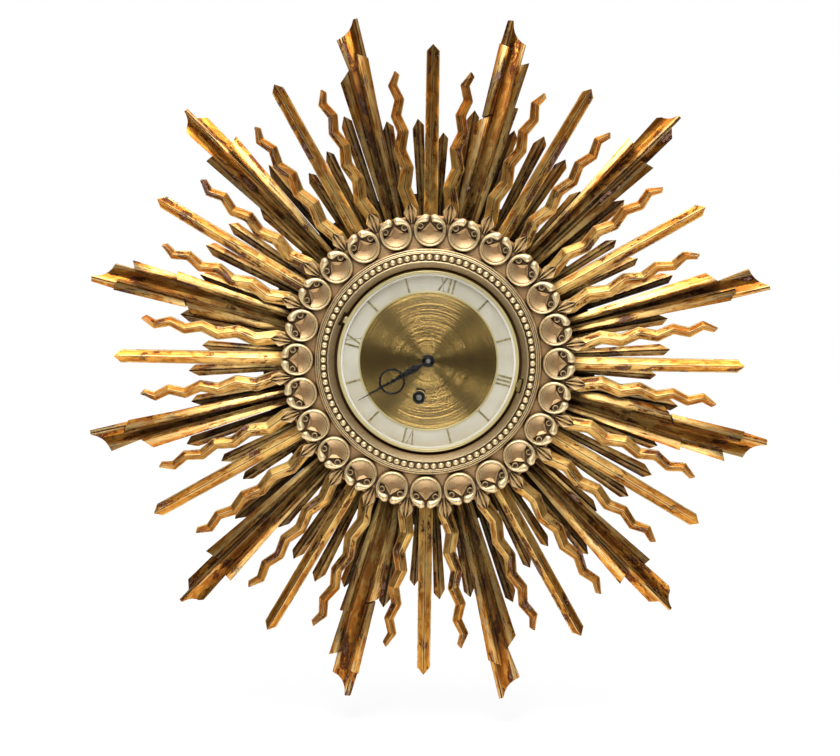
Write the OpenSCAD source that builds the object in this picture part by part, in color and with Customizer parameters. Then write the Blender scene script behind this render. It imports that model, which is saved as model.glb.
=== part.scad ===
// Sunburst wall clock with an eight-day spring-driven movement.
// Millimetres. The wall is the plane Y = 0, the dial faces -Y and +Z is up.
// The origin is where the dial's axis meets the wall.

/* [Sunburst] */
// Radius of the sunburst at the tips of the winged blades
burst_r = 312.6; // [300:0.5:325]
// Number of times the ray pattern repeats round the clock
quarters = 4; // [4:4:4]
// Height above the wall at which the rearmost rays start
ray_back_z = 16; // [14:0.5:20]
// Thickness of one layer of rays
layer_t = 6; // [5:0.25:7]
// Thickness of the front layer, with the straight and the wavy rays
front_layer_t = 8; // [7:0.25:10]

/* [Straight rays] */
// Radius at the point of a straight ray
bar_tip_r = 282; // [270:1:295]
// Width of a straight ray at its root
bar_root_w = 12.8; // [11:0.1:13]
// Width of a straight ray at its shoulders
bar_tip_w = 11.2; // [9:0.1:12]

/* [Wavy rays] */
// Radius at the point of a wavy ray
wavy_tip_r = 259.6; // [250:0.5:270]
// Sideways swing of a wavy ray each way
wave_swing = 2.35; // [1:0.05:2.6]
// Width of a wavy ray near its point
wavy_tip_w = 7.8; // [6:0.1:9]
// Width of a wavy ray where it leaves the ornaments
wavy_root_w = 13.2; // [11:0.1:14]
// Number of half waves between the point and the ornaments
half_waves = 8; // [6:1:9]

/* [Hub] */
// Room round the bezel in the bore
bore_room = 2.4; // [2:0.1:3.2]
// Room round the case behind the ledge
case_room = 8.5; // [6:0.5:10]
// Height of the ledge above the wall
ledge_z = 36; // [35:0.5:37]
// Thickness of the hub's wall round the bore
hub_wall = 14.4; // [13:0.1:16]
// Width of the flange behind the ray roots, past the moulding
flange_w = 20; // [12:1:30]
// Thickness of that flange
flange_t = 5; // [3:0.5:8]
// Width of each step that a layer of rays is seated on
step_w = 6; // [5:0.5:7]
// Width of the moulding plate under the ornaments, from the bore
moulding_w = 46.4; // [44:0.1:49]
// Thickness of the moulding plate
plate_t = 6; // [4:0.5:7]
// Height of the bead channel's floor above the moulding's back
channel_h = 10; // [9:0.25:11]
// Height of the inner lip above the moulding's back
lip_h = 13.5; // [12.5:0.25:14]

/* [Beads and ornaments] */
// Number of beads in the ring
bead_count = 88; // [72:4:90]
// Diameter of a bead
bead_d = 4.9; // [4:0.1:5.2]
// Distance of the bead ring from the bore
bead_inset = 9.4; // [9.2:0.1:9.6]
// Number of scroll ornaments, and of leaf buds between them
scroll_count = 24; // [20:2:24]
// Distance of the scroll ornaments' middle from the bore
scroll_inset = 33.4; // [32.4:0.2:34.4]
// Half width of a scroll ornament to the middle of its rim
scroll_half_w = 12; // [10:0.1:12.4]
// Half height of a scroll ornament to the middle of its rim
scroll_half_h = 13; // [11.5:0.1:13.2]
// Half width of the scroll rim
scroll_rim = 2; // [1.4:0.1:2.2]
// Height of the scroll rim above the moulding plate
scroll_h = 8; // [5:0.25:9]
// Radius of the dished cup inside a scroll
cup_r = 8.6; // [6:0.1:9]
// Distance of the leaf buds' middle past the moulding's edge
bud_outset = 1; // [-1:0.25:2]
// Width of a leaf bud
bud_w = 11; // [8:0.1:12]

/* [Case] */
// Gap between the barrel's teeth and the case
barrel_gap = 2.575; // [2:0.025:4]
// Thickness of the case's sheet metal
sheet_t = 1; // [0.8:0.1:1.2]
// Gap between the case's front flange and the bore
flange_gap = 1.3; // [0.8:0.1:2]
// Thickness of the retaining strap
strap_t = 1.5; // [1:0.1:2]
// Width of the retaining strap
strap_w = 16; // [12:0.5:20]

/* [Dial] */
// Turn of the dial, clockwise, in its round opening
dial_turn = 13.7; // [0:0.1:20]
// Gap between the dial plate's edge and the bezel's outside
dial_inset = 3.2; // [3:0.1:4]
// Thickness of the dial plate
dial_t = 0.8; // [0.6:0.1:1]
// Width of the silvered ring that carries the numerals
chapter_w = 17.4; // [15:0.1:22]
// Width of the bright ring round the brass disc
dial_trim_w = 1.4; // [0.8:0.1:2]
// Clear width inside the hour numerals
numeral_foot = 2; // [1.6:0.1:3]
// Clear width outside the hour numerals
numeral_head = 2.4; // [1.5:0.1:4]
// Thickness of the numerals
numeral_t = 0.3; // [0.2:0.05:0.5]
// Distance of the winding hole below the middle of the dial
winding_y = 33.5; // [33:0.1:34]
// Outer radius of the winding hole's grommet
grommet_r = 5.6; // [4.5:0.1:6]
// Width across the flats of the winding square
square_w = 3.5; // [3:0.1:3.7]

/* [Hands] */
// Distance of the minute hand's tip from the dial plate's edge
minute_hand_short = 6.5; // [4:0.5:12]
// Distance from the middle to the hour hand's ring
hour_ring_y = 37; // [33:0.5:40]
// Outer radius of the hour hand's ring
hour_ring_r = 11.6; // [9:0.1:12]
// Thickness of a hand
hand_t = 0.5; // [0.4:0.05:0.6]
// Clockwise angle of both hands from twelve o'clock
hands_angle = 226; // [0:1:359]

/* [Bezel and glass] */
// Outer radius of the bezel, which the hub, the mouldings and the dial are sized round
bezel_r = 81.2; // [77:0.1:86]
// Width of the bezel's front
bezel_w = 2.8; // [2.6:0.1:3.2]
// Wall of the bezel round the glass
bezel_wall = 2; // [1.8:0.1:2.4]
// Height of the bezel from back to front
bezel_h = 9.5; // [9:0.1:10]
// Thickness of the glass
glass_t = 2; // [1.5:0.1:2.2]
// Width of the bevel round the glass
glass_bevel = 2; // [1:0.1:3]
// Radius of the hinge pin
hinge_pin_r = 0.8; // [0.6:0.05:1]

/* [Movement] */
// Height of the back plate above the wall
back_plate_z = 6; // [5.8:0.1:6.4]
// Height of the front plate above the wall
front_plate_z = 29.5; // [29.3:0.1:29.8]
// Thickness of the movement's plates
movement_plate_t = 1.5; // [1.2:0.1:1.6]
// Radius of the spring barrel's drum
barrel_r = 17.2; // [15:0.1:17.6]
// Radius of the pillars between the plates
pillar_r = 2.2; // [1.8:0.1:2.6]
// Radius of the balance wheel
balance_r = 9; // [7:0.1:9.5]

/* [Hidden] */
$fn = 64;

// Small gaps: a running fit, a gap between moving neighbours, and a loose fit
fit = 0.05;
gap = 0.3;
slack = 0.5;
// Overrun of a cutter past the face that it cuts
over = 1;

// Radii that follow the bezel, outward
bore_r = bezel_r + bore_room;
bead_ring_r = bore_r + bead_inset;
wall_ring_r = bore_r + hub_wall;
scroll_ring_r = bore_r + scroll_inset;
moulding_r = bore_r + moulding_w;
bud_ring_r = moulding_r + bud_outset;
flange_r = moulding_r + flange_w;

// Radii that follow the bezel, inward
case_flange_r = bore_r - flange_gap;
glass_r = bezel_r - bezel_wall;
sight_r = bezel_r - bezel_w;
dial_r = bezel_r - dial_inset;
numeral_out_r = dial_r - numeral_head;
minute_hand_l = dial_r - minute_hand_short;
dial_centre_r = dial_r - chapter_w;
numeral_in_r = dial_centre_r + numeral_foot;

// Heights of the ray layers above the wall
rear_z = ray_back_z;
blade_z = rear_z + layer_t;
slat_z = blade_z + layer_t;
front_z = slat_z + layer_t;
moulding_z = front_z + front_layer_t;
plate_z = moulding_z + plate_t;
channel_z = moulding_z + channel_h;

// Radii of the steps that the ray layers butt against, front to back
front_root_r = wall_ring_r;
slat_root_r = front_root_r + step_w;
blade_root_r = slat_root_r + step_w;
rear_root_r = blade_root_r + step_w;

// Angle between neighbouring wavy rays, straight rays and scrolls
quarter = 360 / quarters;
wavy_step = 15;
bar_step = 30;

// Heights in the clock insert above the wall
dial_z = ledge_z + sheet_t;
dial_top_z = dial_z + dial_t;
hour_hand_z = dial_top_z + 1.4;
minute_hand_z = hour_hand_z + hand_t + 0.7;
bezel_z = ledge_z + sheet_t + slack;
bezel_top_z = bezel_z + bezel_h;
glass_z = bezel_top_z - 1.2 - glass_t;
back_cover_z = strap_t;

// The hinge pin, to the right of the dial
hinge_x = bore_r + 0.6;
hinge_z = bezel_top_z + 1.2;
hinge_half_l = 5.6;
knuckle_r = 1.5;

// Teeth of the train, from the barrel to the escape wheel, and of the hands' gears
barrel_teeth = 80;
second_teeth = 64;
centre_teeth = 72;
third_teeth = 64;
fourth_teeth = 75;
minute_teeth = 36;
hour_teeth = 40;
second_leaves = 12;
centre_leaves = 12;
third_leaves = 8;
fourth_leaves = 8;
escape_leaves = 9;
cannon_leaves = 12;
minute_leaves = 10;
escape_teeth = 15;
ratchet_teeth = 24;

// Modules of the gear pairs
barrel_module = 0.5;
second_module = 0.45;
centre_module = 0.4;
third_module = 0.4;
fourth_module = 0.35;
cannon_module = 0.5;
hour_module = cannon_module * (cannon_leaves + minute_teeth) / (hour_teeth + minute_leaves);

// Heights of the wheels above the wall
inner_z = back_plate_z + movement_plate_t;
barrel_wheel_z = inner_z + 1.2;
fourth_wheel_z = inner_z + 5;
third_wheel_z = inner_z + 9.5;
escape_wheel_z = inner_z + 12.5;
centre_wheel_z = inner_z + 14.5;
second_wheel_z = inner_z + 19;
balance_z = inner_z + 3;
wheel_t = 1.2;
pinion_t = 3;
arbor_r = 0.8;
pivot_r = 0.4;

// The case holds the barrel, the outermost wheel, and the plates fill the case
tooth_top = 0.85;
tooth_root = 1.2;
case_r = winding_y + barrel_module * (barrel_teeth / 2 + tooth_top) + barrel_gap + sheet_t;
rear_bore_r = case_r + case_room;
back_land_r = (rear_bore_r + wall_ring_r) / 2;
plate_r = case_r - sheet_t;

// Places of the arbors behind the dial
centre_at = [0, 0];
barrel_at = [0, -winding_y];
second_at = meet(barrel_at, gear_distance(barrel_teeth, second_leaves, barrel_module),
                 centre_at, gear_distance(second_teeth, centre_leaves, second_module));
third_at = beside(centre_at, 150, gear_distance(centre_teeth, third_leaves, centre_module));
fourth_at = beside(third_at, 60, gear_distance(third_teeth, fourth_leaves, third_module));
escape_at = beside(fourth_at, 0, gear_distance(fourth_teeth, escape_leaves, fourth_module));
pallet_at = beside(escape_at, 45, 9.6);
balance_at = beside(pallet_at, 45, 11);
minute_at = beside(centre_at, 20, gear_distance(cannon_leaves, minute_teeth, cannon_module));
pillars_at = plate_r * [[-0.46, -0.78], [0.46, -0.78], [-0.53, 0.64], [0.6, 0.25]];
click_l = 15;
click_at = beside(barrel_at, 200, click_l);

// Distance between the arbors of two meshing gears
function gear_distance(teeth_a, teeth_b, module_mm) = module_mm * (teeth_a + teeth_b) / 2;

// Point at a distance and a direction from another point
function beside(from, direction, distance) = from + distance * [cos(direction), sin(direction)];

// Point at distance ra from a and rb from b, on the right of the line from a to b
function meet(a, ra, b, rb) =
  let (line = b - a, d = norm(line), along = (d * d + ra * ra - rb * rb) / (2 * d),
       across = sqrt(ra * ra - along * along))
  a + along * line / d + across * [line.y, -line.x] / d;

// Direction from one point to another
function toward(a, b) = atan2(b.y - a.y, b.x - a.x);

// Turn of a gear b that puts its gap on a tooth of gear a, which has a tooth at 0 degrees
function mesh_turn(a, b, teeth_a, teeth_b) =
  let (line = toward(a, b))
  line + 180 + 180 / teeth_b + line * teeth_a / teeth_b;

// Outline of a toothed wheel. A tooth's corners are shares of its pitch and of the module
tooth_corners = [[-0.28, -tooth_root], [-0.09, tooth_top], [0.09, tooth_top], [0.28, -tooth_root]];
function gear_outline(teeth, module_mm) = [
  for (i = [0:teeth - 1], corner = tooth_corners)
    let (angle = (i + corner.x) * 360 / teeth, r = module_mm * (teeth / 2 + corner.y))
    r * [cos(angle), sin(angle)]
];

// Points of a smooth bend from a to b, pulled toward c
function bend(a, c, b, steps = 5) = [
  for (i = [0:steps])
    let (t = i / steps)
    a * (1 - t) * (1 - t) + c * 2 * t * (1 - t) + b * t * t
];

// Outline of a flat spiral strip
function spiral_outline(r_in, r_out, turns, strip, steps) =
  let (count = turns * steps,
       middle = [for (i = [0:count]) [r_in + (r_out - r_in) * i / count, i * 360 / steps]])
  concat(
    [for (p = middle) (p.x + strip / 2) * [cos(p.y), sin(p.y)]],
    [for (i = [count:-1:0]) let (p = middle[i]) (p.x - strip / 2) * [cos(p.y), sin(p.y)]]
  );

// Stands what is drawn flat up on the wall, facing the room
module on_wall() rotate([90, 0, 0]) children();

// The same for the clock insert, which is turned in its opening
module in_insert() on_wall() rotate([0, 0, -dial_turn]) children();

// Places a ray drawn along +Y at a clockwise angle from the top
module ray_at(angle) rotate([0, 0, -angle]) children();

// A tube, a disc with a hole
module ring(r_out, r_in, height) {
  difference() {
    cylinder(r = r_out, h = height);
    translate([0, 0, -over])
      cylinder(r = r_in, h = height + 2 * over);
  }
}

// A prism with a roof-shaped top, whose ridge runs from one point to another
module roof(from, to, half_w, wall_h, ridge_h) {
  translate([from.x, from.y, 0])
    rotate([0, 0, toward(from, to)])
      rotate([90, 0, 90])
        linear_extrude(norm(to - from))
          polygon([[-half_w, 0], [half_w, 0], [half_w, wall_h], [0, ridge_h], [-half_w, wall_h]]);
}

// A ray with a ridge down its middle, cut to its outline
wall_share = 0.45;
module ridged_ray(outline, from, to, half_w, height) {
  intersection() {
    linear_extrude(height)
      polygon(outline);
    roof(from, to, half_w, height * wall_share, height);
  }
}

module hub_core() {
  color("saddlebrown")
    on_wall()
      difference() {
        rotate_extrude()
          polygon([
            [rear_bore_r, 0], [wall_ring_r, 0], [wall_ring_r, rear_z - flange_t],
            [flange_r, rear_z - flange_t], [flange_r, rear_z], [rear_root_r, rear_z],
            [rear_root_r, blade_z], [blade_root_r, blade_z], [blade_root_r, slat_z],
            [slat_root_r, slat_z], [slat_root_r, front_z], [front_root_r, front_z],
            [front_root_r, moulding_z], [bore_r, moulding_z], [bore_r, ledge_z],
            [rear_bore_r, ledge_z]
          ]);
        strap_slot();
        hanger_pocket();
        for (side = [-1, 1])
          translate([side * strap_screw_x, 0, -over])
            cylinder(r = screw_r, h = screw_l + over);
        for (side = [-1, 1])
          translate([side * hanger_screw_x, hanger_y, -over])
            cylinder(r = screw_r, h = screw_l / 2 + over);
      }
}

// The strap lies flush in a slot across the back of the hub
strap_half_l = wall_ring_r - 6;
strap_screw_x = back_land_r;
screw_r = 1.6;
screw_l = 14;
module strap_slot() {
  translate([-strap_half_l - gap, -strap_w / 2 - gap, -over])
    cube([2 * (strap_half_l + gap), strap_w + 2 * gap, strap_t + over]);
}

// The hanger plate lies flush over a pocket for the head of the wall hook
hanger_y = back_land_r;
hanger_w = 44;
hanger_h = 20;
hanger_t = 1.5;
hanger_screw_x = 17;
hook_head_r = 4.5;
hook_neck_r = 2.2;
pocket_depth = 8;
module hanger_pocket() {
  translate([-hanger_w / 2 - gap, hanger_y - hanger_h / 2 - gap, -over])
    cube([hanger_w + 2 * gap, hanger_h + 2 * gap, hanger_t + over]);
  translate([-hook_head_r - 2, hanger_y - hanger_h / 2 + 2, 0])
    cube([2 * (hook_head_r + 2), hanger_h - 4, pocket_depth]);
}

module hanger_plate() {
  color("lightgrey")
    on_wall()
      difference() {
        translate([-hanger_w / 2, hanger_y - hanger_h / 2, 0])
          cube([hanger_w, hanger_h, hanger_t]);
        translate([0, hanger_y - hook_head_r / 2, -over])
          cylinder(r = hook_head_r, h = hanger_t + 2 * over);
        translate([-hook_neck_r, hanger_y - hook_head_r / 2, -over])
          cube([2 * hook_neck_r, hook_head_r + 3, hanger_t + 2 * over]);
        translate([0, hanger_y + hook_head_r / 2 + 3, -over])
          cylinder(r = hook_neck_r, h = hanger_t + 2 * over);
        for (side = [-1, 1])
          translate([side * hanger_screw_x, hanger_y, 0])
            screw_hole(hanger_t);
      }
}

// A countersunk hole in a plate, with its wide end at the wall
head_r = 3;
module screw_hole(plate) {
  translate([0, 0, -over])
    cylinder(r = screw_r + fit, h = plate + 2 * over);
  cylinder(r1 = head_r + fit, r2 = screw_r + fit, h = plate - 0.1);
}

// A countersunk screw with its head at the wall and a slot across it
module screw(plate, length) {
  difference() {
    union() {
      cylinder(r1 = head_r, r2 = screw_r, h = plate - 0.1);
      translate([0, 0, plate - 0.2])
        cylinder(r = screw_r, h = length - plate);
    }
    translate([-head_r, -0.35, -over])
      cube([2 * head_r, 0.7, over + 0.6]);
  }
}

module hanger_screws() {
  color("silver")
    on_wall()
      for (side = [-1, 1])
        translate([side * hanger_screw_x, hanger_y, 0])
          screw(hanger_t, screw_l / 2 - slack);
}

// Short ridged rays at the back: clockwise angle from the top, how far the point stops short of the
// burst's radius, and width
short_rays = [
  [-20.1, 80.6, 11], [-10.9, 94.6, 10.5], [-3.5, 95.6, 10.5], [2.75, 107.6, 9.6], [9.5, 84.6, 10.5],
  [19.5, 92.6, 11], [26.3, 86.6, 11.6], [33.3, 94.6, 11], [41, 108.6, 10.5], [49.7, 85.6, 11],
  [56.4, 112.6, 9.6], [63.05, 103.6, 9.6]
];
module rear_rays() {
  color("peru")
    on_wall()
      translate([0, 0, rear_z])
        for (turn = [0:quarters - 1], ray = short_rays)
          ray_at(turn * quarter + ray[0])
            short_ray(burst_r - ray[1], ray[2]);
}

module short_ray(tip_r, width) {
  root_w = width * 0.62;
  shoulder = tip_r - width * 0.55;
  ridged_ray(
    [[-root_w / 2, rear_root_r], [root_w / 2, rear_root_r], [width / 2, shoulder], [0, tip_r],
     [-width / 2, shoulder - width * 0.3]],
    [0, rear_root_r - over], [0, tip_r + over], width / 2, layer_t);
}

// The three winged groups in each quarter are drawn about these clockwise angles. A corner is given by
// its distance to the side of the group's line, and how far it stops short of the burst's radius
wing_a = -13;
wing_b = 14;
wing_c = 45;
function corner(side, short) = [side, burst_r - short];

module each_wing(angle) {
  for (turn = [0:quarters - 1])
    ray_at(turn * quarter + angle)
      children();
}

// A blade is a long board with a ridge near one edge. A narrow facet falls away outside the ridge, and
// the wide face inside it is hollow. The facet lies on side 1, to the right, or -1, to the left
facet_w = 4.6;
hollow_w = 15;
module blade(outline, ridge_from, ridge_to, side) {
  facet_h = layer_t * 0.5;
  floor_h = layer_t * 0.4;
  rim_h = layer_t * 0.9;
  reach = 2 * hollow_w;
  intersection() {
    linear_extrude(layer_t + over)
      polygon(outline);
    translate([ridge_from.x, ridge_from.y, 0])
      rotate([0, 0, toward(ridge_from, ridge_to)])
        rotate([90, 0, 90])
          linear_extrude(norm(ridge_to - ridge_from))
            polygon([
              [side * reach, 0], [side * reach, rim_h], [side * hollow_w, rim_h],
              [side * hollow_w * 0.7, floor_h + 0.5], [side * hollow_w * 0.4, floor_h],
              [side * hollow_w * 0.1, layer_t * 0.75], [0, layer_t],
              [-side * facet_w, facet_h], [-side * reach, facet_h], [-side * reach, 0]
            ]);
  }
}

module wing_blades() {
  color("goldenrod")
    on_wall()
      translate([0, 0, blade_z]) {
        each_wing(wing_a)
          blade(
            concat([[-9, blade_root_r], [4, blade_root_r], corner(2.7, 36.1), corner(1.8, 0.1)],
                   bend(corner(-2.2, 0.4), corner(-7.3, 12.6), corner(-20.5, 15.6)),
                   [corner(-15.2, 46.8)]),
            [-0.3, blade_root_r - over], [-0.9, burst_r + 2], 1);
        each_wing(wing_b)
          blade(
            concat([[7, blade_root_r], [-6, blade_root_r], corner(-10.7, 22.7), corner(-9.8, 1.3),
                    corner(-8.9, 0.4)],
                   bend(corner(-4.5, 0.1), corner(-2, 14.6), corner(11.6, 18.2)),
                   [corner(11.6, 34.3)]),
            [-2.6, blade_root_r - over], [-5.4, burst_r + 2], -1);
        each_wing(wing_c)
          blade(
            concat([[-6, blade_root_r], [6, blade_root_r], corner(8.9, 49.6), corner(8.9, 18.2),
                    corner(1.8, 12), corner(1.3, 0)],
                   bend(corner(-2.2, 0), corner(-4, 8.6), corner(-11.6, 12)),
                   [corner(-14.3, 15.6), corner(-12, 46.6)]),
            [0.5, blade_root_r - over], [-0.6, burst_r + 2], 1);
      }
}

// Slats lie on the blades. Each is drawn by its corners about its group's line, and has its ridge near
// the edge that faces the hollow of the blade
module wing_slats() {
  color("darkgoldenrod")
    on_wall()
      translate([0, 0, slat_z]) {
        each_wing(wing_a) {
          slat([[-3.2, slat_root_r], [0.8, slat_root_r], corner(4, 37), corner(-8, 29.8)], 0, 3);
          slat([[-4.4, slat_root_r], [-8.8, slat_root_r], corner(-25, 53.9), corner(-13.8, 43.2),
                corner(-6.6, 162.6)], 0, 3);
        }
        each_wing(wing_b) {
          slat([corner(-10, 90.1), corner(-1.6, 85.1), corner(-0.9, 24.5), corner(-11.6, 22.7)], 1, 2);
          slat([[-7.2, slat_root_r], [-2.4, slat_root_r], corner(-1.8, 86.9), corner(-10.7, 92.3),
                corner(-15.2, 98.6)], 1, 2);
          slat([corner(9.9, 76), corner(16.4, 75.4), corner(18.7, 33), corner(8, 38.8)], 0, 3);
          slat([[3.2, slat_root_r], [8.4, slat_root_r], corner(19.6, 74.4), corner(8.9, 75.3)], 0, 3);
        }
        each_wing(wing_c) {
          slat([[-8, slat_root_r], [-3.4, slat_root_r], corner(-9.8, 46.8), corner(-18.7, 45.9),
                corner(-13.4, 109.6)], 1, 2);
          slat([[0.6, slat_root_r], [5, slat_root_r], corner(16, 48.6), corner(3.6, 52.1)], 0, 3);
        }
      }
}

// A slat's ridge runs a little inside its steep edge, from the root corner to the tip corner
steep_w = 1.8;
module slat(corners, root, tip) {
  middle = (corners[0] + corners[1]) / 2;
  side = sign(middle.x - corners[root].x);
  inset = [side * steep_w, 0];
  from = corners[root] + inset;
  to = corners[tip] + inset;
  reach = (to - from) / norm(to - from);
  wide_w = 12;
  start = from - wide_w * reach;
  intersection() {
    linear_extrude(layer_t)
      polygon(corners);
    translate([start.x, start.y, 0])
      rotate([0, 0, toward(from, to)])
        rotate([90, 0, 90])
          linear_extrude(norm(to - from) + 2 * wide_w)
            polygon([
              [side * 2 * steep_w, 0], [side * 2 * steep_w, layer_t * 0.25], [side * steep_w, layer_t * 0.25],
              [0, layer_t], [-side * wide_w, layer_t * 0.45], [-side * 2 * wide_w, layer_t * 0.45],
              [-side * 2 * wide_w, 0]
            ]);
  }
}

module straight_rays() {
  color("gold")
    on_wall()
      translate([0, 0, front_z])
        for (angle = [0:bar_step:359])
          ray_at(angle)
            ridged_ray(
              [[-bar_root_w / 2, front_root_r], [bar_root_w / 2, front_root_r],
               [bar_tip_w / 2, bar_tip_r - bar_tip_w / 2], [0, bar_tip_r],
               [-bar_tip_w / 2, bar_tip_r - bar_tip_w / 2]],
              [0, front_root_r - over], [0, bar_tip_r + over], bar_root_w / 2, front_layer_t);
}

// A wavy ray is a ridged strip that zigzags in straight stretches, which grow longer inward
wave_foot_r = moulding_r + 7.4;
stretch_growth = 0.446;
first_stretch = (wavy_tip_r - wave_foot_r) / half_waves - stretch_growth * (half_waves - 1);
wave_lean = -1.2;
inner_half_w = 4.6;
point_half_w = 1.2;
function wave_r(t) = wavy_tip_r - t * (first_stretch + stretch_growth * (t - 1));
function wave_ring(t) =
  let (share = t / half_waves,
       half_w = t == 0 ? point_half_w : (wavy_tip_w + (wavy_root_w - wavy_tip_w) * share) / 2,
       u = wave_lean + wave_swing * (t % 2 == 0 ? 1 : -1) * (t == 0 ? 0.4 : 1))
  ring_points(u, half_w, wave_r(t), u);
function ring_points(u, half_w, r, ridge_u) = [
  [u - half_w, r, 0], [u + half_w, r, 0], [u + half_w, r, front_layer_t * 0.4],
  [ridge_u, r, front_layer_t], [u - half_w, r, front_layer_t * 0.4]
];

// Skin of a strip of rings with the same number of points, closed at both ends
function strip_faces(rings, sides) = concat(
  [for (i = [0:rings - 2], j = [0:sides - 1])
    let (here = i * sides, next = here + sides)
    [here + j, next + j, here + (j + 1) % sides]],
  [for (i = [0:rings - 2], j = [0:sides - 1])
    let (here = i * sides, next = here + sides)
    [next + j, next + (j + 1) % sides, here + (j + 1) % sides]],
  [[for (j = [0:sides - 1]) j]],
  [[for (j = [sides - 1:-1:0]) (rings - 1) * sides + j]]
);

module wavy_rays() {
  rings = concat(
    [for (i = [0:half_waves]) wave_ring(i)],
    [ring_points(0, inner_half_w, front_root_r, 0)]
  );
  color("goldenrod")
    on_wall()
      translate([0, 0, front_z])
        for (angle = [wavy_step / 2:wavy_step:359])
          ray_at(angle)
            polyhedron([for (points = rings, p = points) p], strip_faces(len(rings), 5));
}

// The turned mouldings: outer plate, plain band, fillet, bead channel, lip and sloping land
fillet_w = 2;
lip_w = 1.8;
land_h = 6;
bead_gap = 0.3;
channel_r = bead_ring_r + bead_d / 2 + bead_gap;
band_foot_r = scroll_ring_r - scroll_half_h - scroll_rim - 0.1;
band_r = band_foot_r - 0.5;
module hub_moulding() {
  lip_r = bead_ring_r - bead_d / 2 - bead_gap;
  color("rosybrown")
    on_wall()
      translate([0, 0, moulding_z])
        difference() {
          rotate_extrude()
            polygon([
              [bore_r, 0], [moulding_r, 0], [moulding_r, plate_t - 2], [moulding_r - 2, plate_t],
              [band_foot_r, plate_t], [band_r + 0.2, channel_h], [band_r - 0.6, channel_h + 1.6],
              [channel_r + fillet_w, channel_h + 2],
              [channel_r + fillet_w - 0.8, channel_h + 0.8], [channel_r, channel_h + 0.8],
              [channel_r, channel_h], [lip_r, channel_h], [lip_r - 0.4, lip_h],
              [lip_r - lip_w, lip_h], [bore_r, land_h]
            ]);
          rotate([0, 0, -dial_turn]) {
            translate([bore_r - 3, -notch_half_w, -over])
              cube([6, 2 * notch_half_w, lip_h + 2 * over]);
            rotate([0, 0, tab_angle])
              translate([bore_r - 3, -notch_half_w, -over])
                cube([6, 2 * notch_half_w, lip_h + 2 * over]);
          }
        }
}

// Notches in the land make room for the hinge and for the bezel's lift tab
notch_half_w = 6.5;
tab_angle = 168;

module bead_row() {
  color("rosybrown")
    on_wall()
      for (i = [0:bead_count - 1])
        rotate([0, 0, i * 360 / bead_count])
          translate([bead_ring_r, 0, channel_z])
            bead();
}

// A bead is a ball with its foot cut flat
bead_sink = 0.7;
module bead() {
  intersection() {
    translate([0, 0, bead_d / 2 - bead_sink])
      sphere(r = bead_d / 2);
    translate([-bead_d, -bead_d, 0])
      cube([2 * bead_d, 2 * bead_d, bead_d]);
  }
}

// A scroll rim runs round an oval from one curled end, at the top, to the other
scroll_open = 24;
scroll_rings = 18;
function scroll_centre(s) =
  let (angle = 90 + scroll_open + (360 - 2 * scroll_open) * s, tuck = max(0, abs(2 * s - 1) * 5 - 4))
  [(scroll_half_w - 3 * tuck) * cos(angle), (scroll_half_h - 2 * tuck) * sin(angle)];
function scroll_size(s) =
  let (tuck = max(0, abs(2 * s - 1) * 5 - 4))
  scroll_rim * (1 + 0.45 * sin(180 * tuck));
function scroll_ring(s) =
  let (here = scroll_centre(s), ahead = scroll_centre(min(1, s + 0.01)) - scroll_centre(max(0, s - 0.01)),
       side = [ahead.y, -ahead.x] / norm(ahead), w = scroll_size(s),
       top = scroll_h * (0.7 + 0.15 * w / scroll_rim))
  [
    [here.x - side.x * w, here.y - side.y * w, 0], [here.x + side.x * w, here.y + side.y * w, 0],
    [here.x + side.x * w, here.y + side.y * w, top * 0.6],
    [here.x + side.x * w * 0.45, here.y + side.y * w * 0.45, top],
    [here.x - side.x * w * 0.45, here.y - side.y * w * 0.45, top],
    [here.x - side.x * w, here.y - side.y * w, top * 0.6]
  ];

module each_scroll() {
  for (i = [0:scroll_count - 1])
    ray_at(i * 360 / scroll_count)
      translate([0, scroll_ring_r, 0])
        children();
}

module scroll_rims() {
  rings = [for (i = [0:scroll_rings]) scroll_ring(i / scroll_rings)];
  color("rosybrown")
    on_wall()
      translate([0, 0, plate_z])
        each_scroll()
          polyhedron([for (points = rings, p = points) p], strip_faces(len(rings), 6));
}

module scroll_cups() {
  cup_h = 4;
  dish_r = 14;
  color("tan")
    on_wall()
      translate([0, 0, plate_z])
        each_scroll()
          difference() {
            cylinder(r = cup_r, h = cup_h);
            translate([0, 0, dish_r + 1])
              sphere(r = dish_r);
          }
}

// A leaf bud is a pointed drop that lies on the edge of the moulding
module leaf_buds() {
  half_w = bud_w / 2;
  color("rosybrown")
    on_wall()
      for (i = [0:scroll_count - 1])
        ray_at((i + 0.5) * 360 / scroll_count)
          translate([0, bud_ring_r, plate_z])
            intersection() {
              rotate([-90, 0, 0])
                rotate_extrude()
                  polygon([
                    [0, -half_w * 1.35], [half_w * 0.7, -half_w], [half_w, -half_w * 0.2],
                    [half_w * 0.82, half_w * 0.6], [half_w * 0.35, half_w * 1.2], [0, half_w * 1.7]
                  ]);
              translate([-bud_w, -bud_w, 0])
                cube([2 * bud_w, 4 * bud_w, bud_w]);
            }
}

module case_can() {
  color("goldenrod")
    in_insert()
      rotate_extrude()
        polygon([
          [case_r - sheet_t, back_cover_z + sheet_t], [case_r, back_cover_z + sheet_t],
          [case_r, ledge_z], [case_flange_r, ledge_z], [case_flange_r, ledge_z + sheet_t],
          [case_r - sheet_t, ledge_z + sheet_t]
        ]);
}

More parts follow.
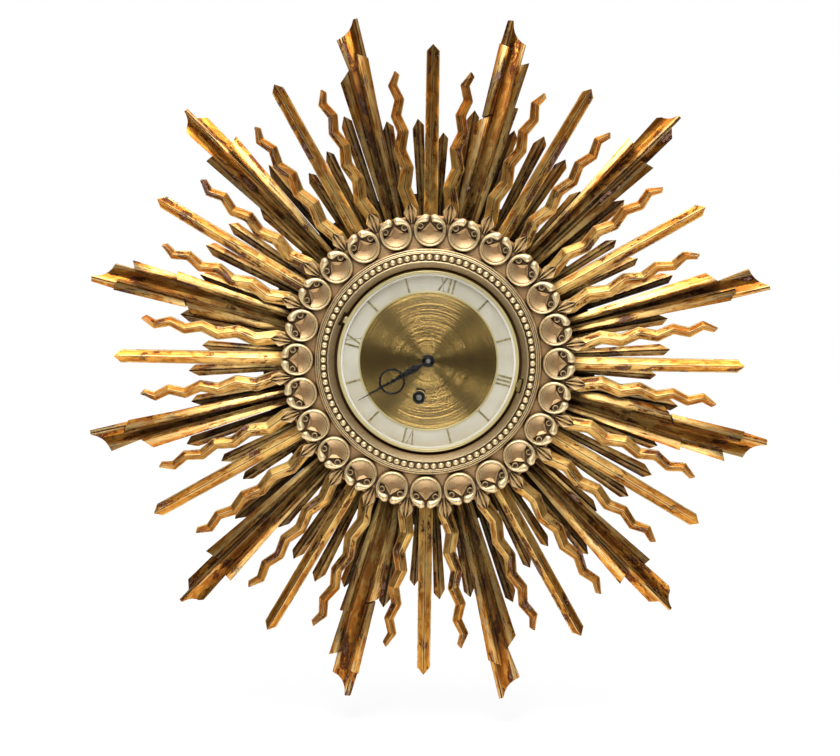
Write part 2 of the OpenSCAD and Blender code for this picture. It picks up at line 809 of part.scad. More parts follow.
// The back cover snaps over the open back of the case. A slot shows the regulator
module back_cover() {
  cover_r = case_r + sheet_t + fit;
  cover_h = 6;
  slot_w = 18;
  slot_h = 6;
  color("goldenrod")
    in_insert()
      difference() {
        rotate_extrude()
          polygon([
            [0, back_cover_z], [cover_r, back_cover_z], [cover_r, back_cover_z + cover_h],
            [case_r + fit, back_cover_z + cover_h], [case_r + fit, back_cover_z + sheet_t],
            [0, back_cover_z + sheet_t]
          ]);
        translate([balance_at.x - slot_w / 2, balance_at.y + slot_h / 2, 0])
          cube([slot_w, slot_h, 2 * sheet_t + strap_t]);
      }
}

module retaining_strap() {
  color("silver")
    on_wall()
      difference() {
        translate([-strap_half_l, -strap_w / 2, 0])
          cube([2 * strap_half_l, strap_w, strap_t]);
        for (side = [-1, 1])
          translate([side * strap_screw_x, 0, 0])
            screw_hole(strap_t);
      }
}

module strap_screws() {
  color("silver")
    on_wall()
      for (side = [-1, 1])
        translate([side * strap_screw_x, 0, 0])
          screw(strap_t, screw_l - slack);
}

hour_pipe_r = 3.1;
winding_hole_r = grommet_r - 1.4;
module dial_plate() {
  color("whitesmoke")
    in_insert()
      translate([0, 0, dial_z])
        difference() {
          cylinder(r = dial_r, h = dial_t);
          translate([0, 0, -over])
            cylinder(r = hour_pipe_r + slack, h = dial_t + 2 * over);
          translate([barrel_at.x, barrel_at.y, -over])
            cylinder(r = winding_hole_r, h = dial_t + 2 * over);
        }
}

centre_disc_t = 0.4;
module dial_centre() {
  color("darkkhaki")
    in_insert()
      translate([0, 0, dial_top_z])
        difference() {
          cylinder(r = dial_centre_r, h = centre_disc_t);
          translate([0, 0, -over])
            cylinder(r = hour_pipe_r + slack, h = centre_disc_t + 2 * over);
          translate([barrel_at.x, barrel_at.y, -over])
            cylinder(r = winding_hole_r, h = centre_disc_t + 2 * over);
        }
}

dial_trim_t = 0.7;
module dial_trim() {
  color("ivory")
    in_insert()
      translate([0, 0, dial_top_z])
        ring(dial_centre_r + dial_trim_w, dial_centre_r, dial_trim_t);
}

// Numerals: a stroke is a straight bar, thick or thin, between two heights
numeral_h = numeral_out_r - numeral_in_r;
thick = 1.7;
thin = 0.6;
serif_h = 0.5;
serif_w = 3;
module serif(x, y) {
  translate([x - serif_w / 2, y])
    square([serif_w, serif_h]);
}
module stroke(x) {
  translate([x - thick / 2, 0])
    square([thick, numeral_h]);
  for (y = [0, numeral_h - serif_h])
    serif(x, y);
}
module cross(x, lean) {
  polygon([[x - lean - thick / 2, 0], [x - lean + thick / 2, 0], [x + lean + thick / 2, numeral_h],
           [x + lean - thick / 2, numeral_h]]);
  polygon([[x + lean - thin / 2, 0], [x + lean + thin / 2, 0], [x - lean + thin / 2, numeral_h],
           [x - lean - thin / 2, numeral_h]]);
  for (side = [-1, 1], y = [0, numeral_h - serif_h])
    serif(x + side * lean, y);
}
module vee(x, lean) {
  polygon([[x - thin / 2, 0], [x + thin / 2, 0], [x - lean + thick / 2, numeral_h],
           [x - lean - thick / 2, numeral_h]]);
  polygon([[x - thin / 2, 0], [x + thin / 2, 0], [x + lean + thin / 2, numeral_h],
           [x + lean - thin / 2, numeral_h]]);
  for (side = [-1, 1])
    serif(x + side * lean, numeral_h - serif_h);
}
module numeral(hour) {
  if (hour == 0) {
    cross(-4.6, 2.6);
    stroke(1.6);
    stroke(5.4);
  } else if (hour == 3) {
    for (x = [-3.6, 0, 3.6])
      stroke(x);
  } else if (hour == 6) {
    vee(-2.2, 2.5);
    stroke(3.8);
  } else if (hour == 9) {
    stroke(-3.8);
    cross(2, 2.6);
  } else {
    stroke(0);
  }
}
module numerals() {
  color("goldenrod")
    in_insert()
      for (hour = [0:11])
        ray_at(hour * 30)
          translate([0, numeral_in_r, dial_top_z])
            linear_extrude(numeral_t)
              numeral(hour);
}

module winding_grommet() {
  grommet_w = 1.8;
  grommet_t = 0.8;
  color("black")
    in_insert()
      translate([barrel_at.x, barrel_at.y, dial_top_z + centre_disc_t])
        ring(grommet_r, grommet_r - grommet_w, grommet_t);
}

// Feet carry the dial on the front plate of the movement
dial_feet_at = plate_r * [[-0.39, 0.53], [0.46, -0.53], [-0.44, -0.64]];
module dial_feet() {
  foot_r = 1.8;
  color("goldenrod")
    in_insert()
      for (at = dial_feet_at)
        translate([at.x, at.y, front_plate_z + movement_plate_t])
          cylinder(r = foot_r, h = dial_z - front_plate_z - movement_plate_t);
}

// The bezel: an outer wall with a rolled front and an inner seat for the glass
module bezel() {
  roll = bezel_w / 2;
  roll_r = bezel_r - roll;
  seat_z = glass_z + glass_t + fit;
  tab_w = 6;
  tab_l = 3;
  tab_t = 1.2;
  color("goldenrod")
    in_insert()
      difference() {
        union() {
          rotate_extrude()
            polygon(concat(
              [[glass_r + fit, bezel_z], [bezel_r, bezel_z]],
              bend([bezel_r, bezel_top_z - roll], [bezel_r, bezel_top_z], [roll_r + 0.1, bezel_top_z], 4),
              bend([roll_r - 0.1, bezel_top_z], [sight_r, bezel_top_z], [sight_r, seat_z], 4),
              [[glass_r + fit, seat_z]]
            ));
          rotate([0, 0, tab_angle])
            translate([bezel_r - 0.6, -tab_w / 2, bezel_top_z - 3])
              cube([tab_l + 0.6, tab_w, tab_t]);
        }
        translate([leaf_x, -hinge_half_l, bezel_z - over])
          cube([4, leaf_w, bezel_h + 2 * over]);
      }
}

module glass() {
  color("lightcyan", 0.35)
    in_insert()
      rotate_extrude()
        polygon([
          [0, glass_z], [glass_r, glass_z], [glass_r, glass_z + glass_t * 0.5],
          [sight_r, glass_z + glass_t * 0.62], [sight_r - glass_bevel, glass_z + glass_t],
          [0, glass_z + glass_t]
        ]);
}

module glass_ring() {
  glass_ring_h = 2;
  glass_ring_w = 1.2;
  color("goldenrod")
    in_insert()
      translate([0, 0, glass_z - glass_ring_h])
        ring(glass_r, glass_r - glass_ring_w, glass_ring_h);
}

// The hinge base stands in the notch on the hub and holds the ends of the pin
leaf_t = 1;
leaf_w = 2 * hinge_half_l;
leaf_x = bezel_r - 0.9;
knuckle_l = 3;
module hinge_base() {
  base_t = 1.6;
  color("goldenrod")
    in_insert()
      difference() {
        union() {
          for (side = [-1, 1])
            translate([hinge_x, side * hinge_half_l - (side > 0 ? knuckle_l : 0), hinge_z])
              rotate([-90, 0, 0])
                cylinder(r = knuckle_r, h = knuckle_l);
          for (side = [-1, 1])
            translate([hinge_x - 0.1, side * hinge_half_l - (side > 0 ? knuckle_l : 0), moulding_z])
              cube([base_t, knuckle_l, hinge_z - moulding_z]);
          translate([hinge_x - 0.1, -hinge_half_l, moulding_z])
            cube([base_t, leaf_w, leaf_t]);
        }
        translate([hinge_x, -hinge_half_l - over, hinge_z])
          rotate([-90, 0, 0])
            cylinder(r = hinge_pin_r, h = leaf_w + 2 * over);
      }
}

module hinge_pin() {
  color("silver")
    in_insert()
      translate([hinge_x, -hinge_half_l, hinge_z])
        rotate([-90, 0, 0])
          cylinder(r = hinge_pin_r, h = leaf_w);
}

// The moving leaf is soldered to the bezel's wall and turns on the pin
module hinge_leaf() {
  half = hinge_half_l - knuckle_l - gap / 2;
  color("goldenrod")
    in_insert()
      difference() {
        union() {
          translate([hinge_x, -half, hinge_z])
            rotate([-90, 0, 0])
              cylinder(r = knuckle_r, h = 2 * half);
          translate([leaf_x, -half, bezel_z + 2])
            cube([leaf_t, 2 * half, hinge_z - bezel_z - 2]);
          translate([leaf_x, -half, hinge_z - 0.2])
            cube([hinge_x - leaf_x, 2 * half, leaf_t]);
        }
        translate([hinge_x, -half - over, hinge_z])
          rotate([-90, 0, 0])
            cylinder(r = hinge_pin_r + fit, h = 2 * (half + over));
      }
}

// A hand is drawn pointing to twelve o'clock and then turned to the time
module hand_at(z) {
  in_insert()
    translate([0, 0, z])
      rotate([0, 0, -hands_angle])
        children();
}

centre_pipe_r = 2;
module hour_hand() {
  neck_w = 3.2;
  stroke_w = 1.7;
  color("black")
    hand_at(hour_hand_z)
      linear_extrude(hand_t)
        difference() {
          union() {
            circle(r = 5.6);
            polygon([[-neck_w / 2, 0], [neck_w / 2, 0], [neck_w / 2 - 0.6, hour_ring_y - hour_ring_r + 0.8],
                     [0.6 - neck_w / 2, hour_ring_y - hour_ring_r + 0.8]]);
            translate([0, hour_ring_y])
              circle(r = hour_ring_r);
            translate([0, hour_ring_y + hour_ring_r - 0.5])
              polygon([[-1.6, 0], [1.6, 0], [0, 5]]);
          }
          circle(r = hour_pipe_r);
          translate([0, hour_ring_y])
            circle(r = hour_ring_r - stroke_w);
        }
}

module minute_hand() {
  bulb_y = 13.5;
  color("black")
    hand_at(minute_hand_z)
      linear_extrude(hand_t)
        difference() {
          union() {
            circle(r = 5);
            polygon(concat(
              [[1.1, 0], [1.1, 8]],
              bend([1.1, 8], [3.6, bulb_y - 1], [3.2, bulb_y + 1], 4),
              bend([2.8, bulb_y + 4], [1.8, bulb_y + 12], [1.3, 34], 4),
              [[0.25, minute_hand_l], [-0.25, minute_hand_l]],
              bend([-1.3, 34], [-1.8, bulb_y + 12], [-2.8, bulb_y + 4], 4),
              bend([-3.2, bulb_y + 1], [-3.6, bulb_y - 1], [-1.1, 8], 4),
              [[-1.1, 0]]
            ));
          }
          circle(r = centre_pipe_r);
        }
}

module hand_nut() {
  color("grey")
    in_insert()
      translate([0, 0, minute_hand_z + hand_t])
        difference() {
          cylinder(r = 2.6, h = 1.4);
          translate([0, 0, -over])
            cylinder(r = 1, h = over + 1);
        }
}

pillar_end_r = 1.2;
nut_t = 1.6;
centre_arbor_r = 1;

// The movement's plates share one outline, with a bearing hole for each arbor
module plate_outline() {
  polygon(plate_r * [[-0.53, -0.83], [0.53, -0.83], [0.67, -0.18], [0.67, 0.6], [0.5, 0.78],
                     [-0.6, 0.71], [-0.6, -0.18]]);
}

module holes_for(list, r) {
  for (at = list)
    translate([at.x, at.y, -over])
      cylinder(r = r, h = movement_plate_t + 2 * over);
}

module back_plate() {
  color("goldenrod")
    in_insert()
      translate([0, 0, back_plate_z])
        difference() {
          linear_extrude(movement_plate_t)
            plate_outline();
          holes_for([centre_at, second_at, third_at, fourth_at, escape_at, pallet_at, balance_at],
                    pivot_r + fit);
          holes_for([barrel_at], arbor_big_r + fit);
          holes_for(pillars_at, pillar_end_r);
        }
}

// The balance's rear bush stands out of the back plate and carries the regulator
bush_r = 1.2;
bush_l = 1.3;
module balance_bush() {
  color("goldenrod")
    in_insert()
      translate([balance_at.x, balance_at.y, back_plate_z - bush_l])
        ring(bush_r, pivot_r + fit, bush_l);
}

module front_plate() {
  color("goldenrod")
    in_insert()
      translate([0, 0, front_plate_z])
        difference() {
          linear_extrude(movement_plate_t)
            plate_outline();
          holes_for([second_at, third_at, fourth_at, escape_at, pallet_at, balance_at], pivot_r + fit);
          holes_for([centre_at], centre_arbor_r + fit);
          holes_for([barrel_at], arbor_big_r + fit);
          holes_for(pillars_at, pillar_end_r);
        }
}

module pillars() {
  color("goldenrod")
    in_insert()
      for (at = pillars_at)
        translate([at.x, at.y, 0]) {
          translate([0, 0, inner_z])
            cylinder(r = pillar_r, h = front_plate_z - inner_z);
          translate([0, 0, back_plate_z - nut_t])
            cylinder(r = pillar_end_r, h = front_plate_z + movement_plate_t + 2 * nut_t - back_plate_z);
        }
}

module pillar_nuts() {
  color("silver")
    in_insert()
      for (at = pillars_at, z = [back_plate_z - nut_t, front_plate_z + movement_plate_t])
        translate([at.x, at.y, z])
          difference() {
            cylinder(r = 2.6, h = nut_t, $fn = 6);
            translate([0, 0, -over])
              cylinder(r = pillar_end_r, h = nut_t + 2 * over);
          }
}

// The barrel: a drum with teeth at its back, closed by a lid, holding the mainspring
arbor_big_r = 2.6;
drum_wall = 1.2;
drum_h = 13;
module barrel() {
  drum_z = barrel_wheel_z + wheel_t;
  color("darkgoldenrod")
    in_insert()
      translate([barrel_at.x, barrel_at.y, 0])
        difference() {
          union() {
            translate([0, 0, barrel_wheel_z])
              linear_extrude(wheel_t)
                polygon(gear_outline(barrel_teeth, barrel_module));
            translate([0, 0, drum_z])
              cylinder(r = barrel_r, h = drum_h);
          }
          translate([0, 0, drum_z])
            cylinder(r = barrel_r - drum_wall, h = drum_h + over);
          translate([0, 0, barrel_wheel_z - over])
            cylinder(r = arbor_big_r + fit, h = drum_h);
        }
}

module barrel_lid() {
  color("goldenrod")
    in_insert()
      translate([barrel_at.x, barrel_at.y, barrel_wheel_z + wheel_t + drum_h - 1])
        ring(barrel_r - drum_wall, arbor_big_r + fit, 1);
}

module mainspring() {
  color("steelblue")
    in_insert()
      translate([barrel_at.x, barrel_at.y, barrel_wheel_z + wheel_t + 0.4])
        linear_extrude(drum_h - 1.8)
          polygon(spiral_outline(6, barrel_r - drum_wall - 0.5, 7, 0.5, 24));
}

module barrel_arbor() {
  square_z = front_plate_z + movement_plate_t + 3.4;
  color("silver")
    in_insert()
      translate([barrel_at.x, barrel_at.y, 0]) {
        translate([0, 0, back_plate_z - 1])
          cylinder(r = arbor_big_r, h = square_z - back_plate_z + 1);
        translate([-square_w / 2, -square_w / 2, square_z])
          cube([square_w, square_w, dial_top_z + 2 - square_z]);
      }
}

// The ratchet wheel sits on the arbor in front of the front plate
ratchet_z = front_plate_z + movement_plate_t + 0.4;
ratchet_r = 9;
ratchet_t = 1.4;
ratchet_corners = [[0, ratchet_r], [0.15, ratchet_r], [1, ratchet_r - 1.3]];
module ratchet_wheel() {
  color("silver")
    in_insert()
      translate([barrel_at.x, barrel_at.y, ratchet_z])
        difference() {
          linear_extrude(ratchet_t)
            polygon([
              for (i = [0:ratchet_teeth - 1], corner = ratchet_corners)
                let (angle = (i + corner.x) * 360 / ratchet_teeth)
                corner.y * [cos(angle), sin(angle)]
            ]);
          translate([0, 0, -over])
            cylinder(r = arbor_big_r, h = ratchet_t + 2 * over);
        }
}

// The click's nose rests in a gap between two ratchet teeth
click_screw_r = 0.9;
module click() {
  click_t = 1.2;
  nose = beside([0, 0], toward(click_at, barrel_at) + 13, click_l - ratchet_r + 0.15);
  color("silver")
    in_insert()
      translate([click_at.x, click_at.y, ratchet_z])
        difference() {
          union() {
            cylinder(r = 2.2, h = click_t);
            linear_extrude(click_t)
              polygon([beside([0, 0], toward(click_at, barrel_at) + 90, 2), nose + [0, 0.3], nose,
                       beside([0, 0], toward(click_at, barrel_at) - 50, 2)]);
          }
          translate([0, 0, -over])
            cylinder(r = click_screw_r + fit, h = click_t + 2 * over);
        }
}

// A strip spring on a post presses on the click's back
module click_spring() {
  strip_t = 0.6;
  strip_l = 8;
  color("steelblue")
    in_insert()
      translate([click_at.x - 2.9, click_at.y - 5, front_plate_z + movement_plate_t]) {
        cylinder(r = 0.7, h = 1.6);
        translate([-strip_t / 2, 0, 0])
          cube([strip_t, strip_l, 1.4]);
      }
}

module click_screw() {
  shank_l = 1.9;
  color("silver")
    in_insert()
      translate([click_at.x, click_at.y, front_plate_z + movement_plate_t]) {
        cylinder(r = click_screw_r, h = shank_l);
        translate([0, 0, shank_l])
          cylinder(r = 1.6, h = 0.5);
      }
}

// An arbor with its pivots in the two plates
module arbor() {
  translate([0, 0, inner_z + 0.4])
    cylinder(r = arbor_r, h = front_plate_z - inner_z - 0.8);
  translate([0, 0, back_plate_z + 0.2])
    cylinder(r = pivot_r, h = front_plate_z + movement_plate_t - back_plate_z - 0.4);
}

// A wheel with crossed-out spokes
module spoked_wheel(teeth, module_mm, turn) {
  rim_r = module_mm * (teeth / 2 - tooth_root) - 1.6;
  rotate([0, 0, turn])
    linear_extrude(wheel_t)
      difference() {
        polygon(gear_outline(teeth, module_mm));
        difference() {
          circle(r = rim_r);
          circle(r = rim_r * 0.32);
          for (angle = [0, 60, 120])
            rotate(angle)
              square([2 * rim_r + 1, 1.4], center = true);
        }
      }
}

module pinion(leaves, module_mm, turn) {
  rotate([0, 0, turn])
    linear_extrude(pinion_t)
      polygon(gear_outline(leaves, module_mm));
}

module train_wheel(at) {
  color("goldenrod")
    in_insert()
      translate([at.x, at.y, 0])
        children();
}

// A pinion stands half a wheel's thickness proud of the wheel it meshes with, on both sides
pinion_drop = (pinion_t - wheel_t) / 2;

module second_wheel() {
  train_wheel(second_at) {
    arbor();
    translate([0, 0, second_wheel_z])
      spoked_wheel(second_teeth, second_module, 0);
    translate([0, 0, barrel_wheel_z - pinion_drop + 0.2])
      pinion(second_leaves, barrel_module, mesh_turn(barrel_at, second_at, barrel_teeth, second_leaves));
  }
}

module centre_wheel() {
  train_wheel(centre_at) {
    translate([0, 0, inner_z + 0.4])
      cylinder(r = centre_arbor_r, h = minute_hand_z + hand_t + 0.9 - inner_z - 0.4);
    translate([0, 0, back_plate_z + 0.2])
      cylinder(r = pivot_r, h = movement_plate_t + slack);
    translate([0, 0, centre_wheel_z])
      spoked_wheel(centre_teeth, centre_module, 0);
    translate([0, 0, second_wheel_z - pinion_drop])
      pinion(centre_leaves, second_module, mesh_turn(second_at, centre_at, second_teeth, centre_leaves));
  }
}

module third_wheel() {
  train_wheel(third_at) {
    arbor();
    translate([0, 0, third_wheel_z])
      spoked_wheel(third_teeth, third_module, 0);
    translate([0, 0, centre_wheel_z - pinion_drop])
      pinion(third_leaves, centre_module, mesh_turn(centre_at, third_at, centre_teeth, third_leaves));
  }
}

module fourth_wheel() {
  train_wheel(fourth_at) {
    arbor();
    translate([0, 0, fourth_wheel_z])
      spoked_wheel(fourth_teeth, fourth_module, 0);
    translate([0, 0, third_wheel_z - pinion_drop])
      pinion(fourth_leaves, third_module, mesh_turn(third_at, fourth_at, third_teeth, fourth_leaves));
  }
}

// The escape wheel's slanted teeth
escape_r = 6.4;
escape_root_r = escape_r - 1.6;
escape_corners = [[0, escape_root_r], [0.55, escape_r], [0.7, escape_r], [0.62, escape_root_r]];
module escape_wheel() {
  train_wheel(escape_at) {
    arbor();
    translate([0, 0, escape_wheel_z])
      linear_extrude(wheel_t)
        polygon([
          for (i = [0:escape_teeth - 1], corner = escape_corners)
            let (angle = (i + corner.x) * 360 / escape_teeth)
            corner.y * [cos(angle), sin(angle)]
        ]);
    translate([0, 0, fourth_wheel_z - pinion_drop])
      pinion(escape_leaves, fourth_module,
             mesh_turn(fourth_at, escape_at, fourth_teeth, escape_leaves));
  }
}

// The pallet fork: two pallets clear of the escape wheel, and a fork for the balance's pin
module pallet_fork() {
  back = toward(pallet_at, escape_at);
  stone_r = 5.6;
  color("silver")
    in_insert()
      translate([pallet_at.x, pallet_at.y, 0]) {
        arbor();
        translate([0, 0, escape_wheel_z])
          linear_extrude(wheel_t)
            rotate(back) {
              polygon([[0.6, 0], [1.2, stone_r + 0.6], [0, stone_r + 0.6], [-0.9, 0], [0, -stone_r - 0.6],
                       [1.2, -stone_r - 0.6]]);
              for (side = [-1, 1])
                translate([1.1, side * stone_r])
                  square([1.8, 1], center = true);
              translate([-7.4, -0.6])
                square([7.4, 1.2]);
              for (side = [-1, 1])
                translate([-8.4, side * 0.95 - 0.3])
                  square([1.6, 0.6]);
              translate([-7.4, -1.25])
                square([0.8, 2.5]);
            }
      }
}

// The balance wheel swings on its staff, whose roller carries the impulse pin
module balance_wheel() {
  back = toward(balance_at, pallet_at);
  train_wheel(balance_at) {
    arbor();
    translate([0, 0, balance_z]) {
      ring(balance_r, balance_r - 1.6, 1.4);
      linear_extrude(1)
        difference() {
          square([2 * balance_r - 2, 1.6], center = true);
          circle(r = 0.5);
        }
    }
    translate([0, 0, escape_wheel_z - 1.6])
      cylinder(r = 2.4, h = 1);
    rotate([0, 0, back])
      translate([1.8, 0, escape_wheel_z - 1])
        cylinder(r = 0.3, h = 1.8);
  }
}

module hairspring() {
  color("steelblue")
    in_insert()
      translate([balance_at.x, balance_at.y, inner_z + 1.2])
        union() {
          linear_extrude(0.8)
            polygon(spiral_outline(1.8, 6, 6, 0.2, 24));
          translate([6, 0, -1.2])
            cylinder(r = 0.6, h = 2);
        }
}

// The regulator turns about the balance's axis behind the back plate
module regulator() {
  regulator_t = 0.6;
  index_w = 1.4;
  color("silver")
    in_insert()
      translate([balance_at.x, balance_at.y, back_plate_z - 0.9])
        difference() {
          union() {
            cylinder(r = 3, h = regulator_t);
            translate([-index_w / 2, 0, 0])
              cube([index_w, 8, regulator_t]);
          }
          translate([0, 0, -over])
            cylinder(r = bush_r + fit, h = regulator_t + 2 * over);
        }
}

// The cannon pinion is held on the centre arbor and carries the minute hand
motion_z = front_plate_z + movement_plate_t + 0.5;
module cannon_pinion() {
  train_wheel(centre_at)
    difference() {
      union() {
        translate([0, 0, motion_z])
          linear_extrude(1.8)
            polygon(gear_outline(cannon_leaves, cannon_module));
        translate([0, 0, motion_z])
          cylinder(r = centre_pipe_r, h = minute_hand_z + hand_t - motion_z);
      }
      translate([0, 0, motion_z - over])
        cylinder(r = centre_arbor_r, h = minute_hand_z + 2 - motion_z);
    }
}

module minute_wheel() {
  train_wheel(minute_at)
    difference() {
      union() {
        translate([0, 0, motion_z + 0.2])
          rotate([0, 0, mesh_turn(centre_at, minute_at, cannon_leaves, minute_teeth)])
            linear_extrude(1.2)
              polygon(gear_outline(minute_teeth, cannon_module));
        translate([0, 0, motion_z + 1.4])
          rotate([0, 0, mesh_turn(centre_at, minute_at, hour_teeth, minute_leaves)])
            linear_extrude(2)
              polygon(gear_outline(minute_leaves, hour_module));
      }
      translate([0, 0, motion_z - over])
        cylinder(r = stud_r + fit, h = 6);
    }
}

// A stud on the front plate carries the minute wheel
stud_r = 0.8;
module minute_stud() {
  train_wheel(minute_at)
    translate([0, 0, front_plate_z + movement_plate_t]) {
      cylinder(r = stud_r, h = 4.2);
      cylinder(r = 1.6, h = 0.5);
    }
}

module hour_wheel() {
  train_wheel(centre_at)
    difference() {
      union() {
        translate([0, 0, motion_z + 2.2])
          linear_extrude(1)
            polygon(gear_outline(hour_teeth, hour_module));
        translate([0, 0, motion_z + 2.2])
          cylinder(r = hour_pipe_r, h = hour_hand_z + hand_t - motion_z - 2.2);
      }
      translate([0, 0, motion_z])
        cylinder(r = centre_pipe_r + fit, h = hour_hand_z + 2 - motion_z);
    }
}

hub_core();
rear_rays();
wing_blades();
wing_slats();
straight_rays();
wavy_rays();
hub_moulding();
bead_row();
scroll_rims();
scroll_cups();
leaf_buds();
hanger_plate();
hanger_screws();
case_can();
back_cover();
retaining_strap();
strap_screws();
dial_plate();
dial_centre();
dial_trim();
numerals();
winding_grommet();
dial_feet();
bezel();
glass();
glass_ring();
hinge_base();
hinge_leaf();
hinge_pin();
hour_hand();
minute_hand();
hand_nut();
front_plate();
back_plate();
pillars();
pillar_nuts();
balance_bush();
minute_stud();
barrel();
barrel_lid();
mainspring();
barrel_arbor();
ratchet_wheel();
click();
click_screw();
click_spring();
second_wheel();
centre_wheel();
third_wheel();
fourth_wheel();
escape_wheel();
pallet_fork();
balance_wheel();
hairspring();
regulator();
cannon_pinion();
minute_wheel();
hour_wheel();
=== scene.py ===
import math
import random

import bmesh
import bpy
import numpy
from mathutils import Matrix, Vector


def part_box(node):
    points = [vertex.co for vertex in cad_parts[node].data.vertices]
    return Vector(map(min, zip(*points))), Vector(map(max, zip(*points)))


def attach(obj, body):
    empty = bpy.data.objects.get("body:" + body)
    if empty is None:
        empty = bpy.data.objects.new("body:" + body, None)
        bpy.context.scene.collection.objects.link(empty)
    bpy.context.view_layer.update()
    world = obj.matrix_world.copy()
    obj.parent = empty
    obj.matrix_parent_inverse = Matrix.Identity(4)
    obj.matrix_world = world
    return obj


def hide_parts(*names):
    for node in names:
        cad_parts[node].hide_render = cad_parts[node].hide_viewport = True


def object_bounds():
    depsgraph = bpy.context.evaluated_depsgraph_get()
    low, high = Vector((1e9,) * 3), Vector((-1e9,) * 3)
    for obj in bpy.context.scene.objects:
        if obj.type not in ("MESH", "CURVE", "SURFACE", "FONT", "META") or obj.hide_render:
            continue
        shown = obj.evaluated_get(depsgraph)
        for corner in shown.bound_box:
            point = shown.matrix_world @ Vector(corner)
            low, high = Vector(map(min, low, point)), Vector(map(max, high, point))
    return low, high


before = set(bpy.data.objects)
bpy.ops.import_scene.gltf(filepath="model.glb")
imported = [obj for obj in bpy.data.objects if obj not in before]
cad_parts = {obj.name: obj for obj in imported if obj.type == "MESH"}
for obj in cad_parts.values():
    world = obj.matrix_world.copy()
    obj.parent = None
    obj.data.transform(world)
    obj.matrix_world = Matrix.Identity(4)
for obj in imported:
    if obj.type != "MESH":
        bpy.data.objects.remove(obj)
solid_box = [list(corner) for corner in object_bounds()]


# The view
# The clock is seen from in front and a little above, before white paper, over a pale table. One soft
# lamp hangs above it in front. A weaker one below stands for the light that the table throws back.
MM = 0.001
photo_w = 840
mm_per_px = 0.892
camera_distance = 2.5
camera_rise = math.radians(3)
camera_side = math.radians(1.5)
camera_lean = math.radians(0.9)
sensor_w = 36
aim = Vector((-7 * MM, -45 * MM, -15 * MM))


def looking(thing, place, target, lean=0):
    """Puts a camera or a lamp at a place, turned to face a target."""
    turn = (target - place).to_track_quat("-Z", "Y").to_matrix().to_4x4()
    thing.matrix_world = Matrix.Translation(place) @ turn @ Matrix.Rotation(lean, 4, "Z")
    bpy.context.scene.collection.objects.link(thing)


lens = bpy.data.cameras.new("photographer")
lens.sensor_width = sensor_w
lens.lens = sensor_w * camera_distance / (photo_w * mm_per_px * MM)
camera = bpy.data.objects.new("photographer", lens)
sight_line = Vector((
    math.sin(camera_side) * math.cos(camera_rise),
    -math.cos(camera_side) * math.cos(camera_rise),
    math.sin(camera_rise)))
looking(camera, aim + camera_distance * sight_line, aim, camera_lean)
bpy.context.scene.camera = camera
bpy.context.scene.view_settings.view_transform = "Standard"


class Signal:
    """A value or a colour in a finish, which takes the usual signs of arithmetic."""

    def __init__(self, tree, socket=None):
        self.tree = tree
        self.socket = socket

    def node(self, kind, settings, inputs, output=0):
        """A node of any kind, with its settings made first and then its values and links."""
        made = self.tree.nodes.new(kind)
        for name, value in settings.items():
            setattr(made, name, value)
        for name, value in inputs.items():
            if isinstance(value, Signal):
                self.tree.links.new(value.socket, made.inputs[name])
            else:
                made.inputs[name].default_value = value
        return Signal(self.tree, made.outputs[output])

    def math(self, operation, *values):
        return self.node("ShaderNodeMath", {"operation": operation}, dict(enumerate(values)))

    def __add__(self, other):
        return self.math("ADD", self, other)

    __radd__ = __add__

    def __sub__(self, other):
        return self.math("SUBTRACT", self, other)

    def __rsub__(self, other):
        return self.math("SUBTRACT", other, self)

    def __mul__(self, other):
        return self.math("MULTIPLY", self, other)

    __rmul__ = __mul__

    def __truediv__(self, other):
        return self.math("DIVIDE", self, other)

    def __rtruediv__(self, other):
        return self.math("DIVIDE", other, self)

    def __pow__(self, other):
        return self.math("POWER", self, other)

    def part(self, axis):
        """The x, y or z of a place or a direction, as 0, 1 or 2."""
        return self.node("ShaderNodeSeparateXYZ", {}, {0: self}, axis)

    def between(self, low, high):
        """0 below low, 1 above high, and smooth between them."""
        return self.node(
            "ShaderNodeMapRange", {"interpolation_type": "SMOOTHSTEP"},
            {"Value": self, "From Min": low, "From Max": high})

    def blend(self, first, second):
        """The first colour where this value is 0, the second where it is 1."""
        return self.node(
            "ShaderNodeMix", {"data_type": "RGBA"}, {0: self, 6: first, 7: second}, 2)


def linear(red, green, blue):
    """A colour as a paint chart gives it, 0 to 255, made linear."""
    def channel(level):
        share = level / 255
        return share / 12.92 if share < 0.04045 else ((share + 0.055) / 1.055) ** 2.4
    return (channel(red), channel(green), channel(blue), 1)


def of_rays(maker, *names):
    """1 for the kinds of light ray that are named, 0 for the others."""
    path = maker.node("ShaderNodeLightPath", {}, {})
    share = 0
    for name in names:
        share = share + Signal(maker.tree, path.socket.node.outputs[name])
    return share.math("MINIMUM", share, 1)


# The room is bright above and below the clock and dark beside it, and brightest straight up and down
side_light = 0.04
top_light = 4.0
table_light = 2.0
toward_upright = 1.5
narrowness = 3
paper_edge = (0.35, 0.6)
studio = bpy.data.worlds.new("white paper studio")
studio.use_nodes = True
bpy.context.scene.world = studio
sky = Signal(studio.node_tree)
toward = sky.node("ShaderNodeTexCoord", {}, {})
aside = toward.part(0)
behind = toward.part(1)
height = toward.part(2)
above = height.math("MAXIMUM", height, 0)
below = height.math("MAXIMUM", height * -1, 0)
upright = height * height / (height * height + aside * aside + 0.0001)
room = side_light + upright ** narrowness * (
    above ** toward_upright * top_light + below ** toward_upright * table_light)
paper = behind.between(*paper_edge)
white = of_rays(sky, "Is Camera Ray") + of_rays(sky, "Is Transmission Ray", "Is Glossy Ray") * paper
white = white.math("MINIMUM", white, 1)
background = studio.node_tree.nodes["Background"]
background.inputs["Color"].default_value = (1, 1, 1, 1)
studio.node_tree.links.new((room * (1 - white) + white).socket, background.inputs["Strength"])


